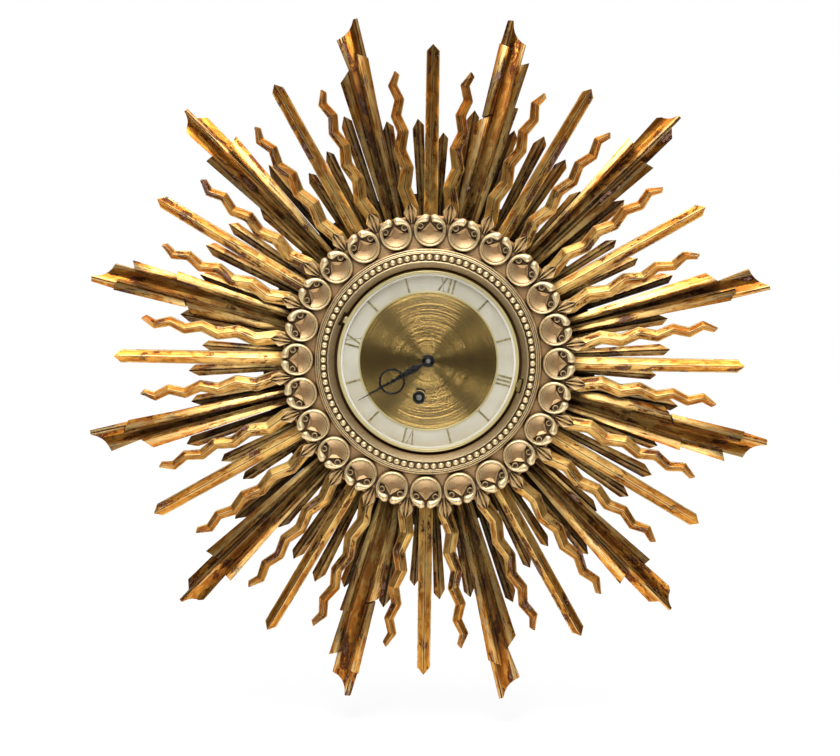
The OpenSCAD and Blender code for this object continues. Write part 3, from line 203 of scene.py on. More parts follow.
def softbox(name, place, width, length, watts):
    """A soft lamp turned to the clock's middle."""
    glow = bpy.data.lights.new(name, "AREA")
    glow.shape = "RECTANGLE"
    glow.size = width
    glow.size_y = length
    glow.energy = watts
    looking(bpy.data.objects.new(name, glow), Vector(place), Vector((0, 0, 0)))


softbox("overhead lamp", place=(-0.12, -1.2, 1.2), width=0.6, length=1.1, watts=14)
softbox("table bounce", place=(0.05, -1.1, -1.0), width=0.5, length=0.8, watts=5)

floor_drop = 24 * MM
floor_half = 6
floor_front = 0.25
floor_z = solid_box[0][2] - floor_drop
table_grey = (0.82, 0.82, 0.82, 1)
table_whitened = 0.8
floor_mesh = bpy.data.meshes.new("pale table")
floor_mesh.from_pydata(
    [(-floor_half, -floor_front, floor_z), (floor_half, -floor_front, floor_z),
     (floor_half, floor_half, floor_z), (-floor_half, floor_half, floor_z)],
    [], [(0, 1, 2, 3)])
table = bpy.data.objects.new("pale_table", floor_mesh)
bpy.context.scene.collection.objects.link(table)
table_white = bpy.data.materials.new("pale table")
table_white.use_nodes = True
table_tree = table_white.node_tree
table_paint = Signal(table_tree)
matt = table_paint.node("ShaderNodeBsdfDiffuse", {}, {"Color": table_grey})
bright = table_paint.node("ShaderNodeEmission", {}, {"Strength": 1.0})
in_sight = of_rays(table_paint, "Is Camera Ray")
table_skin = table_paint.node(
    "ShaderNodeMixShader", {}, {0: in_sight * table_whitened, 1: matt, 2: bright})
table_tree.links.new(table_skin.socket, table_tree.nodes["Material Output"].inputs["Surface"])
floor_mesh.materials.append(table_white)


# Hub core
# The hidden ring that everything is fixed to: a stepped moulding of wood and plaster, painted dark
# brown, with the rays seated on its steps. Its back lies on the wall.
def own_place(maker):
    """The place on the object, in metres."""
    return maker.node("ShaderNodeTexCoord", {}, {}, 3)


def new_finish(name):
    """A new material, its surface shader, a signal to draw it with, and the place on the object."""
    material = bpy.data.materials.new(name)
    material.use_nodes = True
    maker = Signal(material.node_tree)
    return material, material.node_tree.nodes["Principled BSDF"], maker, own_place(maker)


def lay(shader, name, signal):
    """Lets a signal decide one of the surface's qualities."""
    shader.id_data.links.new(signal.socket, shader.inputs[name])


def noise(maker, where, size, detail=3, roughness=0.5, distortion=0):
    """Cloudy noise round 0.5, with spots of a size in the units of where."""
    return maker.node(
        "ShaderNodeTexNoise", {},
        {"Vector": where, "Scale": 1 / size, "Detail": detail, "Roughness": roughness,
         "Distortion": distortion})


def bump(maker, shader, relief, rise):
    """Raises the surface by rise, in metres, where relief is 1."""
    lay(shader, "Normal", maker.node(
        "ShaderNodeBump", {}, {"Height": relief, "Strength": 1, "Distance": rise}))


def finish_nodes(material, *names):
    """Gives CAD pieces that keep their shape their real finish."""
    for name in names:
        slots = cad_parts[name].data.materials
        slots.clear()
        slots.append(material)


def brown_paint():
    material, shader, maker, where = new_finish("brown undercoat")
    cloud = noise(maker, where, 18 * MM)
    grain = noise(maker, where, 1.1 * MM, 4)
    lay(shader, "Base Color", cloud.between(0.3, 0.7).blend(linear(74, 48, 28), linear(104, 70, 40)))
    lay(shader, "Roughness", 0.55 + 0.25 * grain)
    bump(maker, shader, grain, 0.08 * MM)
    return material


finish_nodes(brown_paint(), "hub_core")


# Rays in the back layers
# Short pointed rays at the very back, hollow blades over them and narrow slats on the blades, all
# carved or cast with a ridge, gilded over red-brown ground, toned, and rubbed through in places.
def settle(piece):
    """Makes what the modifiers give the piece's own shape."""
    view = bpy.context.evaluated_depsgraph_get()
    shape = bpy.data.meshes.new_from_object(
        piece.evaluated_get(view), preserve_all_data_layers=True, depsgraph=view)
    piece.modifiers.clear()
    piece.data = shape


def new_piece(name, points, faces):
    """A piece of the object from its points and faces."""
    shape = bpy.data.meshes.new(name)
    shape.from_pydata([tuple(point) for point in points], [], faces)
    piece = bpy.data.objects.new(name, shape)
    bpy.context.scene.collection.objects.link(piece)
    return piece


def soften(piece, crease=32):
    """Shades a piece smooth, except over edges sharper than the crease."""
    for face in piece.data.polygons:
        face.use_smooth = True
    piece.data.set_sharp_from_angle(angle=math.radians(crease))


merge_distance = 0.002 * MM
flat_angle = math.radians(0.5)
edge_angle = math.radians(24)


def worked_copy(node, name, edge):
    """A copy of a CAD piece with its edges broken, as the tools and the gilding leave them."""
    work = bmesh.new()
    work.from_mesh(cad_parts[node].data)
    bmesh.ops.remove_doubles(work, verts=work.verts, dist=merge_distance)
    bmesh.ops.dissolve_limit(work, angle_limit=flat_angle, verts=work.verts, edges=work.edges)
    work.verts.index_update()
    piece = new_piece(
        name, [vert.co.copy() for vert in work.verts],
        [[vert.index for vert in face.verts] for face in work.faces])
    work.free()
    broken = piece.modifiers.new("broken edges", "BEVEL")
    broken.width = edge * MM
    broken.segments = 2
    broken.limit_method = "ANGLE"
    broken.angle_limit = edge_angle
    settle(piece)
    soften(piece)
    return piece


def mark(piece, name, values):
    """Stores a number at every point of a piece for its finish to read."""
    layer = piece.data.attributes.new(name, "FLOAT", "POINT")
    layer.data.foreach_set("value", numpy.array(values, dtype=numpy.float32))


def marked(maker, name):
    """The number that was stored under a name."""
    return maker.node("ShaderNodeAttribute", {"attribute_name": name}, {}, 2)


def loose_parts(shape):
    """The points of each separate part of a mesh."""
    part = list(range(len(shape.vertices)))

    def root(point):
        while part[point] != point:
            part[point] = part[part[point]]
            point = part[point]
        return point

    for edge in shape.edges:
        first, second = edge.vertices
        part[root(first)] = root(second)
    groups = {}
    for point in range(len(part)):
        groups.setdefault(root(point), []).append(point)
    return list(groups.values())


def mark_rays(piece, node, wall_share, seed):
    """Marks how far along and across its ray each point is, and how high: up to a half on the walls.

    The walls take up wall_share of a ray's height."""
    chance = random.Random(seed)
    low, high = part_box(node)
    places = numpy.array([vert.co for vert in piece.data.vertices])
    share = (high.y - places[:, 1]) / (high.y - low.y)
    facing = numpy.zeros(len(places))
    for face in piece.data.polygons:
        for point in face.vertices:
            facing[point] = max(facing[point], -face.normal.y)
    wall = 0.5 * numpy.minimum(share / wall_share, 1)
    rise = numpy.where(facing < 0.5, wall, 0.6 + 0.4 * share)
    along = numpy.zeros(len(places))
    across = numpy.zeros(len(places))
    own = numpy.zeros(len(places))
    for part in loose_parts(piece.data):
        flat = places[part][:, [0, 2]]
        middle = flat.mean(axis=0)
        axes = numpy.linalg.eigh(numpy.cov((flat - middle).T))[1]
        line = axes[:, 1] if axes[:, 1] @ middle > 0 else -axes[:, 1]
        along[part] = flat @ line / MM
        across[part] = (flat - middle) @ numpy.array([line[1], -line[0]]) / MM
        own[part] = chance.random()
    mark(piece, "along", along)
    mark(piece, "across", across)
    mark(piece, "rise", rise)
    mark(piece, "own", own)


hub_root = 98
burst_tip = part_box("wing_blades")[1].z / MM


def rubbed_gold(name, wear_and_shade):
    """Toned gold leaf over a red-brown undercoat. The second number, 0 to 1, is how stained and worn the
    layer is and how far the painted shade in its corners reaches.
    """
    material, shader, maker, where = new_finish(name)
    along = marked(maker, "along")
    across = marked(maker, "across")
    rise = marked(maker, "rise")
    own = marked(maker, "own")
    far = along.between(hub_root + 25, burst_tip - 15)
    stretched = maker.node(
        "ShaderNodeCombineXYZ", {}, {0: across, 1: along * 0.06, 2: own * 60})
    patchy = maker.node(
        "ShaderNodeCombineXYZ", {}, {0: across * 0.8, 1: along * 0.28, 2: own * 90})
    streak = noise(maker, stretched, 1.3, 3, 0.6)
    blotch = noise(maker, patchy, 4.4, 4, 0.6, 0.8)
    stain = noise(maker, patchy, 8.5, 5, 0.66, 0.3)
    speck = noise(maker, where, 1.5 * MM, 2, 0.5)
    grain = noise(maker, where, 0.6 * MM, 2)

    pale = linear(244, 200, 116)
    gold = linear(222, 154, 62)
    orange = linear(170, 96, 32)
    red_brown = linear(82, 36, 17)
    umber = linear(26, 13, 6)
    bare_ground_and_painted_reflection = linear(140, 104, 88)

    # Gold that turns orange toward the tips and red-brown in stains
    tone = (far * 0.8 + blotch * 0.5 - 0.25).between(0, 0.7).blend(pale, gold)
    tone = ((blotch + far * 0.06 + wear_and_shade * 0.08).between(0.46, 0.7) * 0.9).blend(tone, orange)
    uneven = (across.between(-1, 1) - 0.5) * (own - 0.5) * 0.16
    spread = stain + speck * 0.12 + far * 0.015 + wear_and_shade * 0.045 + uneven
    tone = (spread.between(0.62, 0.68) * 0.9).blend(tone, red_brown)
    tone = (streak.between(0.5, 0.72) * 0.35).blend(tone, red_brown)
    # Walls darkened to umber as painted shade, a painted highlight on the edge over them and on the
    # shoulder, and a dark line along the ridge
    low = 1 - rise.between(0.34, 0.52)
    tone = (low * 0.96).blend(tone, umber)
    ridge = rise.between(0.955, 0.99)
    brink = rise.between(0.39, 0.46) * (1 - rise.between(0.55, 0.62))
    shoulder = rise.between(0.86, 0.92) * (1 - ridge)
    # Painted highlight on the edge over the walls and on the shoulder
    painted_edge_light = brink * blotch.between(0.36, 0.5) + shoulder * streak.between(0.42, 0.5) * 0.6
    tone = (painted_edge_light.math("MINIMUM", painted_edge_light, 1) * 0.85).blend(tone, linear(255, 226, 156))
    tone = (ridge * streak.between(0.4, 0.5) * 0.85).blend(tone, umber)
    # Red-brown undercoat that shows where the gold is gone, and painted shade in the corners
    worn = (speck * 0.25 + stain * 0.8 + brink * 0.03 + far * 0.03 + uneven).between(0.655, 0.675)
    tone = worn.blend(tone, bare_ground_and_painted_reflection)
    crevice = maker.node(
        "ShaderNodeAmbientOcclusion", {"samples": 8}, {"Distance": (8 + 9 * wear_and_shade) * MM}, 1)
    # Painted shade, near black, in corners and between the layers, where little of the room is open to a
    # point
    painted_corner_shade = (1 - crevice.between(0.15, 0.85)) * 0.95
    tone = painted_corner_shade.blend(tone, linear(18, 9, 4))

    lay(shader, "Base Color", tone)
    lay(shader, "Metallic", (1 - worn) * (0.92 - 0.4 * low) * (1 - painted_corner_shade * 0.8))
    lay(shader, "Roughness", 0.26 + 0.12 * speck + 0.08 * blotch + 0.3 * worn + 0.12 * painted_corner_shade)
    bump(maker, shader, streak * 0.5 + speck * 0.6 + grain * 0.15 - worn * 0.6, 0.14 * MM)
    shader.inputs["Specular IOR Level"].default_value = 0.25
    return material


def put_on(piece, body, slot, finish, *nodes):
    """Gives a piece its body and finish, and says which nodes it takes the place of. Its slot is not
    used.
    """
    piece.data.materials.clear()
    piece.data.materials.append(finish)
    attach(piece, body)
    if nodes:
        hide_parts(*nodes)


ray_edge = 0.5
rear_gold = rubbed_gold("gold of the short rays", 1.0)
blade_gold = rubbed_gold("gold of the blades", 0.8)
slat_gold = rubbed_gold("gold of the slats", 0.5)
for ray_node, ray_name, wall_share, ray_gold in (
        ("rear_rays", "short_rays", 0.45, rear_gold),
        ("wing_blades", "hollow_blades", 1, blade_gold),
        ("wing_slats", "slats", 0.45, slat_gold)):
    rays = worked_copy(ray_node, ray_name, ray_edge)
    mark_rays(rays, ray_node, wall_share, len(ray_name))
    put_on(rays, "frame", "antique_gilt", ray_gold, ray_node)


# Straight rays
# Twelve long ridged bars in the front layer, one at each hour, with a roof-shaped top and a short point.
# Their roots are let in under the moulding.
def on_face(x, y, z):
    """A place on the clock's face, in mm: to the right, up, and out from the wall."""
    return Vector((x * MM, -z * MM, y * MM))


def levels(node):
    """The heights of a CAD piece's back and front above the wall, in mm."""
    low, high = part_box(node)
    return -high.y / MM, -low.y / MM


def skin(name, rings, closed=False):
    """A solid piece from rings of points, with its ends capped unless the rings close on themselves."""
    sides = len(rings[0])
    spans = len(rings) if closed else len(rings) - 1
    faces = []
    for i in range(spans):
        here = i * sides
        ahead = (i + 1) % len(rings) * sides
        for j in range(sides):
            k = (j + 1) % sides
            faces.append((here + j, here + k, ahead + k, ahead + j))
    if not closed:
        faces.append(tuple(range(sides)))
        faces.append(tuple((len(rings) - 1) * sides + j for j in range(sides)))
    piece = new_piece(name, [point for ring in rings for point in ring], faces)
    outward(piece)
    return piece


def outward(piece):
    """Merges doubled points and turns every face outward."""
    work = bmesh.new()
    work.from_mesh(piece.data)
    bmesh.ops.remove_doubles(work, verts=work.verts, dist=0.0005 * MM)
    bmesh.ops.recalc_face_normals(work, faces=work.faces)
    work.to_mesh(piece.data)
    work.free()


ray_back, ray_front = levels("straight_rays")
ray_t = ray_front - ray_back
# Half a ray's section, from the foot of its side over the softened edge to the softened ridge. The first
# number is a share of the half width, the second a height: 1 at the top of the side and 2 at the ridge
half_section = [(1, 0), (1, 0.86), (0.985, 0.98), (0.95, 1.05), (0.5, 1.5), (0.07, 1.925), (0.025, 1.97)]
ray_section = [(-share, lift) for share, lift in half_section] + half_section[::-1]


def ray_ring(radius, middle, half_w, side_h):
    """One section of a ridged ray that points up."""
    ring = []
    for share, lift in ray_section:
        if lift < 1:
            height = side_h * lift
        else:
            height = side_h + (ray_t - side_h) * (lift - 1)
        ring.append(on_face(middle + half_w * share, radius, ray_back + height))
    return ring


def ridged_ray(name, stations):
    """A ray that points up, from stations of radius, middle, half width and height of the side."""
    ray = skin(name, [ray_ring(*station) for station in stations])
    mark(ray, "along", [station[0] for station in stations for lift in ray_section])
    mark(ray, "across", [station[2] * share for station in stations for share, lift in ray_section])
    mark(ray, "rise", [lift / 2 for station in stations for share, lift in ray_section])
    return ray


def repeating_tree():
    """Repeats a piece round the dial's axis and marks each copy with a number of its own."""
    tree = bpy.data.node_groups.new("repeat round the dial", "GeometryNodeTree")
    inputs = (("Piece", "Geometry"), ("Number", "Int"), ("Step", "Float"), ("First turn", "Float"),
              ("Seed", "Int"), ("Finish", "Material"))
    for label, kind in inputs:
        tree.interface.new_socket(label, in_out="INPUT", socket_type="NodeSocket" + kind)
    tree.interface.new_socket("Row", in_out="OUTPUT", socket_type="NodeSocketGeometry")
    add = tree.nodes.new
    link = tree.links.new
    given = add("NodeGroupInput").outputs
    points = add("GeometryNodePoints")
    count = add("GeometryNodeInputIndex")
    turn = add("ShaderNodeMath")
    turn.operation = "MULTIPLY_ADD"
    rotation = add("ShaderNodeCombineXYZ")
    copies = add("GeometryNodeInstanceOnPoints")
    chance = add("FunctionNodeRandomValue")
    named = add("GeometryNodeStoreNamedAttribute")
    named.domain = "INSTANCE"
    named.data_type = "FLOAT"
    named.inputs["Name"].default_value = "own"
    real = add("GeometryNodeRealizeInstances")
    finished = add("GeometryNodeSetMaterial")
    link(given["Number"], points.inputs["Count"])
    link(count.outputs[0], turn.inputs[0])
    link(given["Step"], turn.inputs[1])
    link(given["First turn"], turn.inputs[2])
    link(turn.outputs[0], rotation.inputs["Y"])
    link(points.outputs[0], copies.inputs["Points"])
    link(given["Piece"], copies.inputs["Instance"])
    link(rotation.outputs[0], copies.inputs["Rotation"])
    link(given["Seed"], chance.inputs["Seed"])
    link(copies.outputs[0], named.inputs["Geometry"])
    link(next(out for out in chance.outputs if out.type == "VALUE"), named.inputs["Value"])
    link(named.outputs[0], real.inputs[0])
    link(real.outputs[0], finished.inputs["Geometry"])
    link(given["Finish"], finished.inputs["Material"])
    link(finished.outputs[0], add("NodeGroupOutput").inputs[0])
    return tree


round_the_dial = repeating_tree()


def repeat_round(piece, number, first_turn, seed, slot, finish, *nodes):
    """Puts copies of a piece, drawn at the top, round the whole face, in place of some nodes."""
    row = piece.modifiers.new("repeat", "NODES")
    row.node_group = round_the_dial
    values = {
        "Number": number,
        "Step": 2 * math.pi / number,
        "First turn": math.radians(first_turn),
        "Seed": seed,
        "Finish": finish}
    for socket in round_the_dial.interface.items_tree:
        if socket.name in values:
            row[socket.identifier] = values[socket.name]
    settle(piece)
    soften(piece)
    put_on(piece, "frame", slot, finish, *nodes)


front_gold = rubbed_gold("gold of the front rays", 0.2)
bar_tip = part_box("straight_rays")[1].z / MM
bar_root_half = 6.4
bar_tip_half = 5.9
bar_side_h = 0.45 * ray_t
bar_shoulder = bar_tip - bar_tip_half
bar_blunt = 0.15
bar = ridged_ray("straight_rays_gilt", [
    (hub_root, 0, bar_root_half, bar_side_h),
    (bar_shoulder, 0, bar_tip_half, bar_side_h),
    (bar_shoulder + 0.5 * bar_tip_half, 0, 0.5 * bar_tip_half, bar_side_h + 0.5 * (ray_t - bar_side_h)),
    (bar_tip - bar_blunt, 0, bar_blunt, ray_t - 0.1)])
bar_count = 12
repeat_round(bar, bar_count, 0, 5, "antique_gilt", front_gold, "straight_rays")


# Wavy rays
# Twenty-four flames between the bars, each one strip that bends from side to side in straight stretches,
# longer toward the hub, with a ridge down the middle.
flame_tip = 259.6
flame_foot = 137.4
half_waves = 8
swing = 2.35
flame_lean = -1.2
stretch_growth = 0.446
first_stretch = (flame_tip - flame_foot) / half_waves - stretch_growth * (half_waves - 1)
flame_side_h = 0.4 * ray_t
flame_tip_half = 3.9
flame_foot_half = 6.6


def bend_radius(bend):
    return flame_tip - bend * (first_stretch + stretch_growth * (bend - 1))


def flame_half(bend):
    return flame_tip_half + (flame_foot_half - flame_tip_half) * bend / half_waves


def flame_middle(bend):
    return flame_lean + swing * (1 if bend % 2 == 0 else -1)


softness = 0.06
flame_root_half = 4.6
flame = [
    (flame_tip, flame_lean + 0.6 * swing, 0.8, flame_side_h + 2),
    (flame_tip - 3.4, flame_lean + 0.75 * swing, flame_tip_half - 0.6, flame_side_h)]
# Three sections stand close together at each bend, so that its corner is a little soft
for bend in range(1, half_waves + 1):
    here = bend_radius(bend)
    middle = flame_middle(bend)
    for share in (-softness, 0, softness):
        other = bend + (1 if share > 0 else -1)
        reach = abs(share)
        radius = here + (bend_radius(other) - here) * reach
        drift = reach + (0.5 * softness if share == 0 else 0)
        flame.append((
            radius, middle + (flame_middle(other) - middle) * drift, flame_half(bend + share),
            flame_side_h))
flame.append((hub_root, 0, flame_root_half, flame_side_h))
flames = ridged_ray("wavy_rays_gilt", flame)
flame_gold = rubbed_gold("gold of the wavy rays", 0.35)
flame_count = 24
repeat_round(flames, flame_count, 180 / flame_count, 6, "antique_gilt", flame_gold, "wavy_rays")


# Hub moulding
# A turned ring over the ray roots: a flat plate for the ornaments, a plain band with a fillet, the
# channel for the beads, a narrow lip, and a land that slopes down to the bezel. Matt bronze gold.
def rounded(corners, radius, steps=3):
    """A closed outline with its corners rounded by arcs."""
    line = []
    for i, corner in enumerate(corners):
        here = Vector(corner)
        before = Vector(corners[i - 1]) - here
        after = Vector(corners[(i + 1) % len(corners)]) - here
        cut = min(radius, 0.4 * before.length, 0.4 * after.length)
        start = here + cut * before.normalized()
        end = here + cut * after.normalized()
        for step in range(steps + 1):
            share = step / steps
            line.append(
                start * (1 - share) ** 2 + here * 2 * share * (1 - share) + end * share ** 2)
    return line


def turned(name, outline, segments=240, centre=(0, 0)):
    """A piece turned about an axis out from the wall, from its outline of radius and height."""
    rings = []
    for i in range(segments):
        turn = 2 * math.pi * i / segments
        rings.append([
            on_face(centre[0] + radius * math.sin(turn), centre[1] + radius * math.cos(turn), height)
            for radius, height in outline])
    piece = skin(name, rings, closed=True)
    soften(piece, 40)
    return piece


def circles(maker):
    """Distance in mm from the dial's axis."""
    x = own_place(maker).part(0) / MM
    y = own_place(maker).part(2) / MM
    return (x * x + y * y) ** 0.5


def circle_noise(maker, spacing, detail):
    """Noise that changes only from circle to circle round the dial's axis."""
    return maker.node(
        "ShaderNodeTexNoise", {"noise_dimensions": "1D"},
        {"W": circles(maker) / spacing, "Detail": detail})


def bronze_gold(name, floor, top, glaze_and_shade_r=0, hollow=4.5):
    """Bronze gold with light and shade painted in: darker low down and lighter toward the top between
    two heights, with painted highlights on the raised parts, painted shade in the hollows, and a brown
    glaze, partly painted shade, inside a given radius.
    """
    material, shader, maker, where = new_finish(name)
    out = where.part(1) * (-1 / MM)
    lifted = out.between(floor, top)
    cloud = noise(maker, where, 9 * MM, 3)
    fleck = noise(maker, where, 1.6 * MM, 4, 0.65)
    grain = noise(maker, where, 0.45 * MM, 2)
    crevice = maker.node(
        "ShaderNodeAmbientOcclusion", {"samples": 8}, {"Distance": hollow * MM}, 1)
    open_air = crevice.between(0.35, 0.92)

    painted_low_shade = linear(172, 130, 84)
    body = linear(214, 172, 116)
    painted_crest_light = linear(255, 232, 182)
    glaze_and_shade = linear(60, 34, 18)
    painted_hollow_shade = linear(52, 29, 15)
    painted_deepest_shade = linear(30, 18, 11)

    # Painted shade low down and painted light toward the top, with painted highlights on raised parts in
    # the open
    tone = (cloud * 0.5 + lifted * 0.6 - 0.12).between(0.2, 0.7).blend(painted_low_shade, body)
    tone = (lifted * open_air * fleck.between(0.28, 0.52)).blend(tone, painted_crest_light)
    # Painted shade in the hollows, near black in the deepest
    tone = ((1 - open_air) * 0.92).blend(tone, painted_hollow_shade)
    tone = ((1 - crevice.between(0.08, 0.5)) * 0.9).blend(tone, painted_deepest_shade)
    # Brown glaze inside the given radius, partly painted shade
    glaze_and_shade_mask = 1 - circles(maker).between(glaze_and_shade_r - 0.3, glaze_and_shade_r + 0.3)
    tone = (glaze_and_shade_mask * 0.55).blend(tone, glaze_and_shade)

    lay(shader, "Base Color", tone)
    lay(shader, "Metallic", 0.3 + 0.4 * open_air)
    lay(shader, "Roughness", 0.32 + 0.2 * fleck)
    bump(maker, shader, fleck * 0.5 + grain * 0.5, 0.16 * MM)
    return material


bore = 83.6
dial_turn = 13.7
plate_edge = 130
bead_d = 5.6
bead_gap = 0.3
bead_ring = bore + 9.4
channel_out = bead_ring + bead_d / 2 + bead_gap
channel_in = bead_ring - bead_d / 2 - bead_gap
plate_h = 6
channel_h = 10
lip_h = 13.5
land_h = 6
ornament_ring = bore + 33.4
band_foot = ornament_ring - 15.1
moulding_back = levels("hub_moulding")[0]
moulding_outline = [
    (bore, 0), (plate_edge, 0), (plate_edge, plate_h - 2), (plate_edge - 2, plate_h),
    (band_foot, plate_h), (band_foot - 1.4, channel_h - 0.6), (band_foot - 2.4, channel_h + 0.2),
    (band_foot - 2.5, channel_h - 0.5), (band_foot - 3, channel_h - 0.5),
    (band_foot - 3.1, channel_h + 0.5), (channel_out + 1.6, channel_h + 1.4),
    (channel_out + 1.5, channel_h + 0.8), (channel_out + 1.1, channel_h + 0.8),
    (channel_out + 1, channel_h + 1.8), (channel_out + 0.1, channel_h + 1.8), (channel_out, channel_h),
    (channel_in, channel_h), (channel_in - 0.3, lip_h - 0.6), (channel_in - 0.8, lip_h),
    (channel_in - 1.6, lip_h), (bore, land_h)]
moulding_edge = 0.35
moulding = turned("turned_moulding", rounded(
    [(radius, moulding_back + height) for radius, height in moulding_outline], moulding_edge),
    segments=300)


def insert_turned(x, y):
    """A place in the clock insert, which sits a little turned in the hub."""
    turn = math.radians(dial_turn)
    return x * math.cos(turn) + y * math.sin(turn), y * math.cos(turn) - x * math.sin(turn)


def insert_toward(direction, out, side):
    """A place in the clock insert, far out in a direction counter-clockwise from its right."""
    angle = math.radians(direction)
    return insert_turned(
        out * math.cos(angle) - side * math.sin(angle),
        out * math.sin(angle) + side * math.cos(angle))


hinge_direction = 0
tab_direction = 168
notch_depth = 3
notch_half = 6.5


def cut_notch(piece, direction):
    """Cuts a notch in the bore for the hinge or for the lift tab."""
    corners = []
    for height in (moulding_back - 1, moulding_back + lip_h + 1):
        for side, out in ((-1, -1), (1, -1), (1, 1), (-1, 1)):
            corner = insert_toward(direction, bore + notch_depth * out, notch_half * side)
            corners.append(on_face(*corner, height))
    faces = [(0, 1, 2, 3), (4, 5, 6, 7)]
    faces += [(i, (i + 1) % 4, (i + 1) % 4 + 4, i + 4) for i in range(4)]
    cutter = new_piece("notch_cutter", corners, faces)
    outward(cutter)
    cut = piece.modifiers.new("notch", "BOOLEAN")
    cut.operation = "DIFFERENCE"
    cut.object = cutter
    cut.solver = "EXACT"
    settle(piece)
    bpy.data.objects.remove(cutter)


cut_notch(moulding, hinge_direction)
cut_notch(moulding, tab_direction)
soften(moulding, 40)
channel_hollow = 2.4
moulding_bronze = bronze_gold(
    "bronze gold of the moulding", moulding_back + plate_h - 3, moulding_back + lip_h,
    glaze_and_shade_r=channel_in - 1, hollow=channel_hollow)
put_on(moulding, "frame", "bronze_gilt", moulding_bronze, "hub_moulding")


# Bead row
# Eighty-eight small balls in the channel, pressed from the same strip, with a painted highlight on top
# and painted shade between.
bead_count = 88
bead_floor, bead_top = levels("bead_row")
bead_middle = bead_top - bead_d / 2
bead_foot = math.asin((bead_floor - bead_middle) / (bead_d / 2))
bead_steps = 8
bead_profile = []
for step in range(bead_steps + 1):
    angle = bead_foot + (math.pi / 2 - bead_foot) * step / bead_steps
    bead_profile.append((math.cos(angle) * bead_d / 2, bead_middle + math.sin(angle) * bead_d / 2))
bead_profile.append((0, bead_floor))
bead = turned("bead_row_gilt", bead_profile, segments=14, centre=(0, bead_ring))
bead_bronze = bronze_gold(
    "bronze gold of the beads", bead_floor, bead_top - 0.3, hollow=channel_hollow)
repeat_round(bead, bead_count, 90, 7, "bronze_gilt", bead_bronze, "bead_row")


# Scroll ornaments
# Twenty-four open ovals in cast composition. A thick rolled rim ends in two round knobs at the outer
# side, and a thin inner lip curls into a small volute on each side of a dished middle.
def swept(name, path, sections):
    """A bar along a path, with a section of side and height points at every place."""
    rings = []
    for i, here in enumerate(path):
        before = Vector(path[max(0, i - 1)])
        after = Vector(path[min(len(path) - 1, i + 1)])
        line = (after - before).normalized()
        side = Vector((line.y, -line.x))
        rings.append([
            on_face(here[0] + side.x * across, here[1] + side.y * across, height)
            for across, height in sections[i]])
    return skin(name, rings)


def half_round(half_w, foot, top, sides=9):
    """A section with upright feet and a round back."""
    spring = foot + 0.45 * (top - foot)
    section = [(-half_w, foot)]
    for step in range(sides):
        turn = math.pi * step / (sides - 1)
        section.append((-half_w * math.cos(turn), spring + (top - spring) * math.sin(turn)))
    section.append((half_w, foot))
    return section


def eased(share):
    """A share from 0 to 1, with both ends flattened."""
    share = min(1, max(0, share))
    return share * share * (3 - 2 * share)


ornament_floor, ornament_top = levels("scroll_rims")
rim_half = 1.6
rim_top = ornament_floor + 5.6
knob_half = 3.9
knob_tip = 2
knob_angle = 14
rim_angle = 78
oval_w = 14.6
oval_h = 14.9
rim_steps = 72
knob_foot_h = 3
path = []
widths = []
for i in range(rim_steps + 1):
    angle = knob_tip + (360 - 2 * knob_tip) * i / rim_steps
    off_top = min(angle, 360 - angle)
    width = rim_half + (knob_half - rim_half) * eased((rim_angle - off_top) / (rim_angle - knob_angle))
    turn = math.radians(90 + angle)
    widths.append(width)
    path.append((
        (oval_w - width) * math.cos(turn), ornament_ring + (oval_h - width) * math.sin(turn)))
run = [0]
for before, after in zip(path, path[1:]):
    run.append(run[-1] + math.dist(before, after))
sections = []
for along_rim, width in zip(run, widths):
    from_end = min(along_rim, run[-1] - along_rim)
    swell = (width - rim_half) / (knob_half - rim_half)
    top = rim_top + (ornament_top - rim_top) * swell
    if from_end < knob_half:
        roundness = math.sqrt(max(0.01, 1 - (1 - from_end / knob_half) ** 2))
        width *= roundness
        top = ornament_floor + knob_foot_h + (top - ornament_floor - knob_foot_h) * roundness
    sections.append(half_round(width, ornament_floor, top))
rims = swept("scroll_rims_gilt", path, sections)
ornament_bronze = bronze_gold(
    "bronze gold of the scrolls", ornament_floor + 1, ornament_top - 1)
scroll_count = 24
repeat_round(rims, scroll_count, 0, 8, "bronze_gilt", ornament_bronze, "scroll_rims")

# The inner lip, which curls into a volute at each end
lip_half = 1.0
lip_oval_w = 12
lip_oval_h = 11.4
lip_end = 24
volute_r = 2.5
volute_end = 0.8
curl_steps = 15
curl_turn = 22
lip_steps = 30
lip_drop = 0.4
lip_path = []
for i in range(lip_steps + 1):
    angle = math.radians(180 - lip_end + (180 + 2 * lip_end) * i / lip_steps)
    lip_path.append((lip_oval_w * math.cos(angle), lip_oval_h * math.sin(angle) - lip_drop))
heading = math.atan2(lip_path[-1][1] - lip_path[-2][1], lip_path[-1][0] - lip_path[-2][0])
centre = Vector(lip_path[-1]) + volute_r * Vector((-math.sin(heading), math.cos(heading)))
curl = []
for step in range(1, curl_steps):
    turn = heading - math.pi / 2 + math.radians(curl_turn * step)
    radius = volute_r * (1 - (1 - volute_end) * step / curl_steps)
    curl.append((centre.x + radius * math.cos(turn), centre.y + radius * math.sin(turn)))
lip_path = [(-x, y) for x, y in curl[::-1]] + lip_path + curl
lip_top = ornament_floor + 5.8
lips = swept(
    "scroll_lips_gilt", [(x, y + ornament_ring) for x, y in lip_path],
    [half_round(lip_half, ornament_floor, lip_top, 5) for point in lip_path])
repeat_round(lips, scroll_count, 0, 9, "bronze_gilt", ornament_bronze)

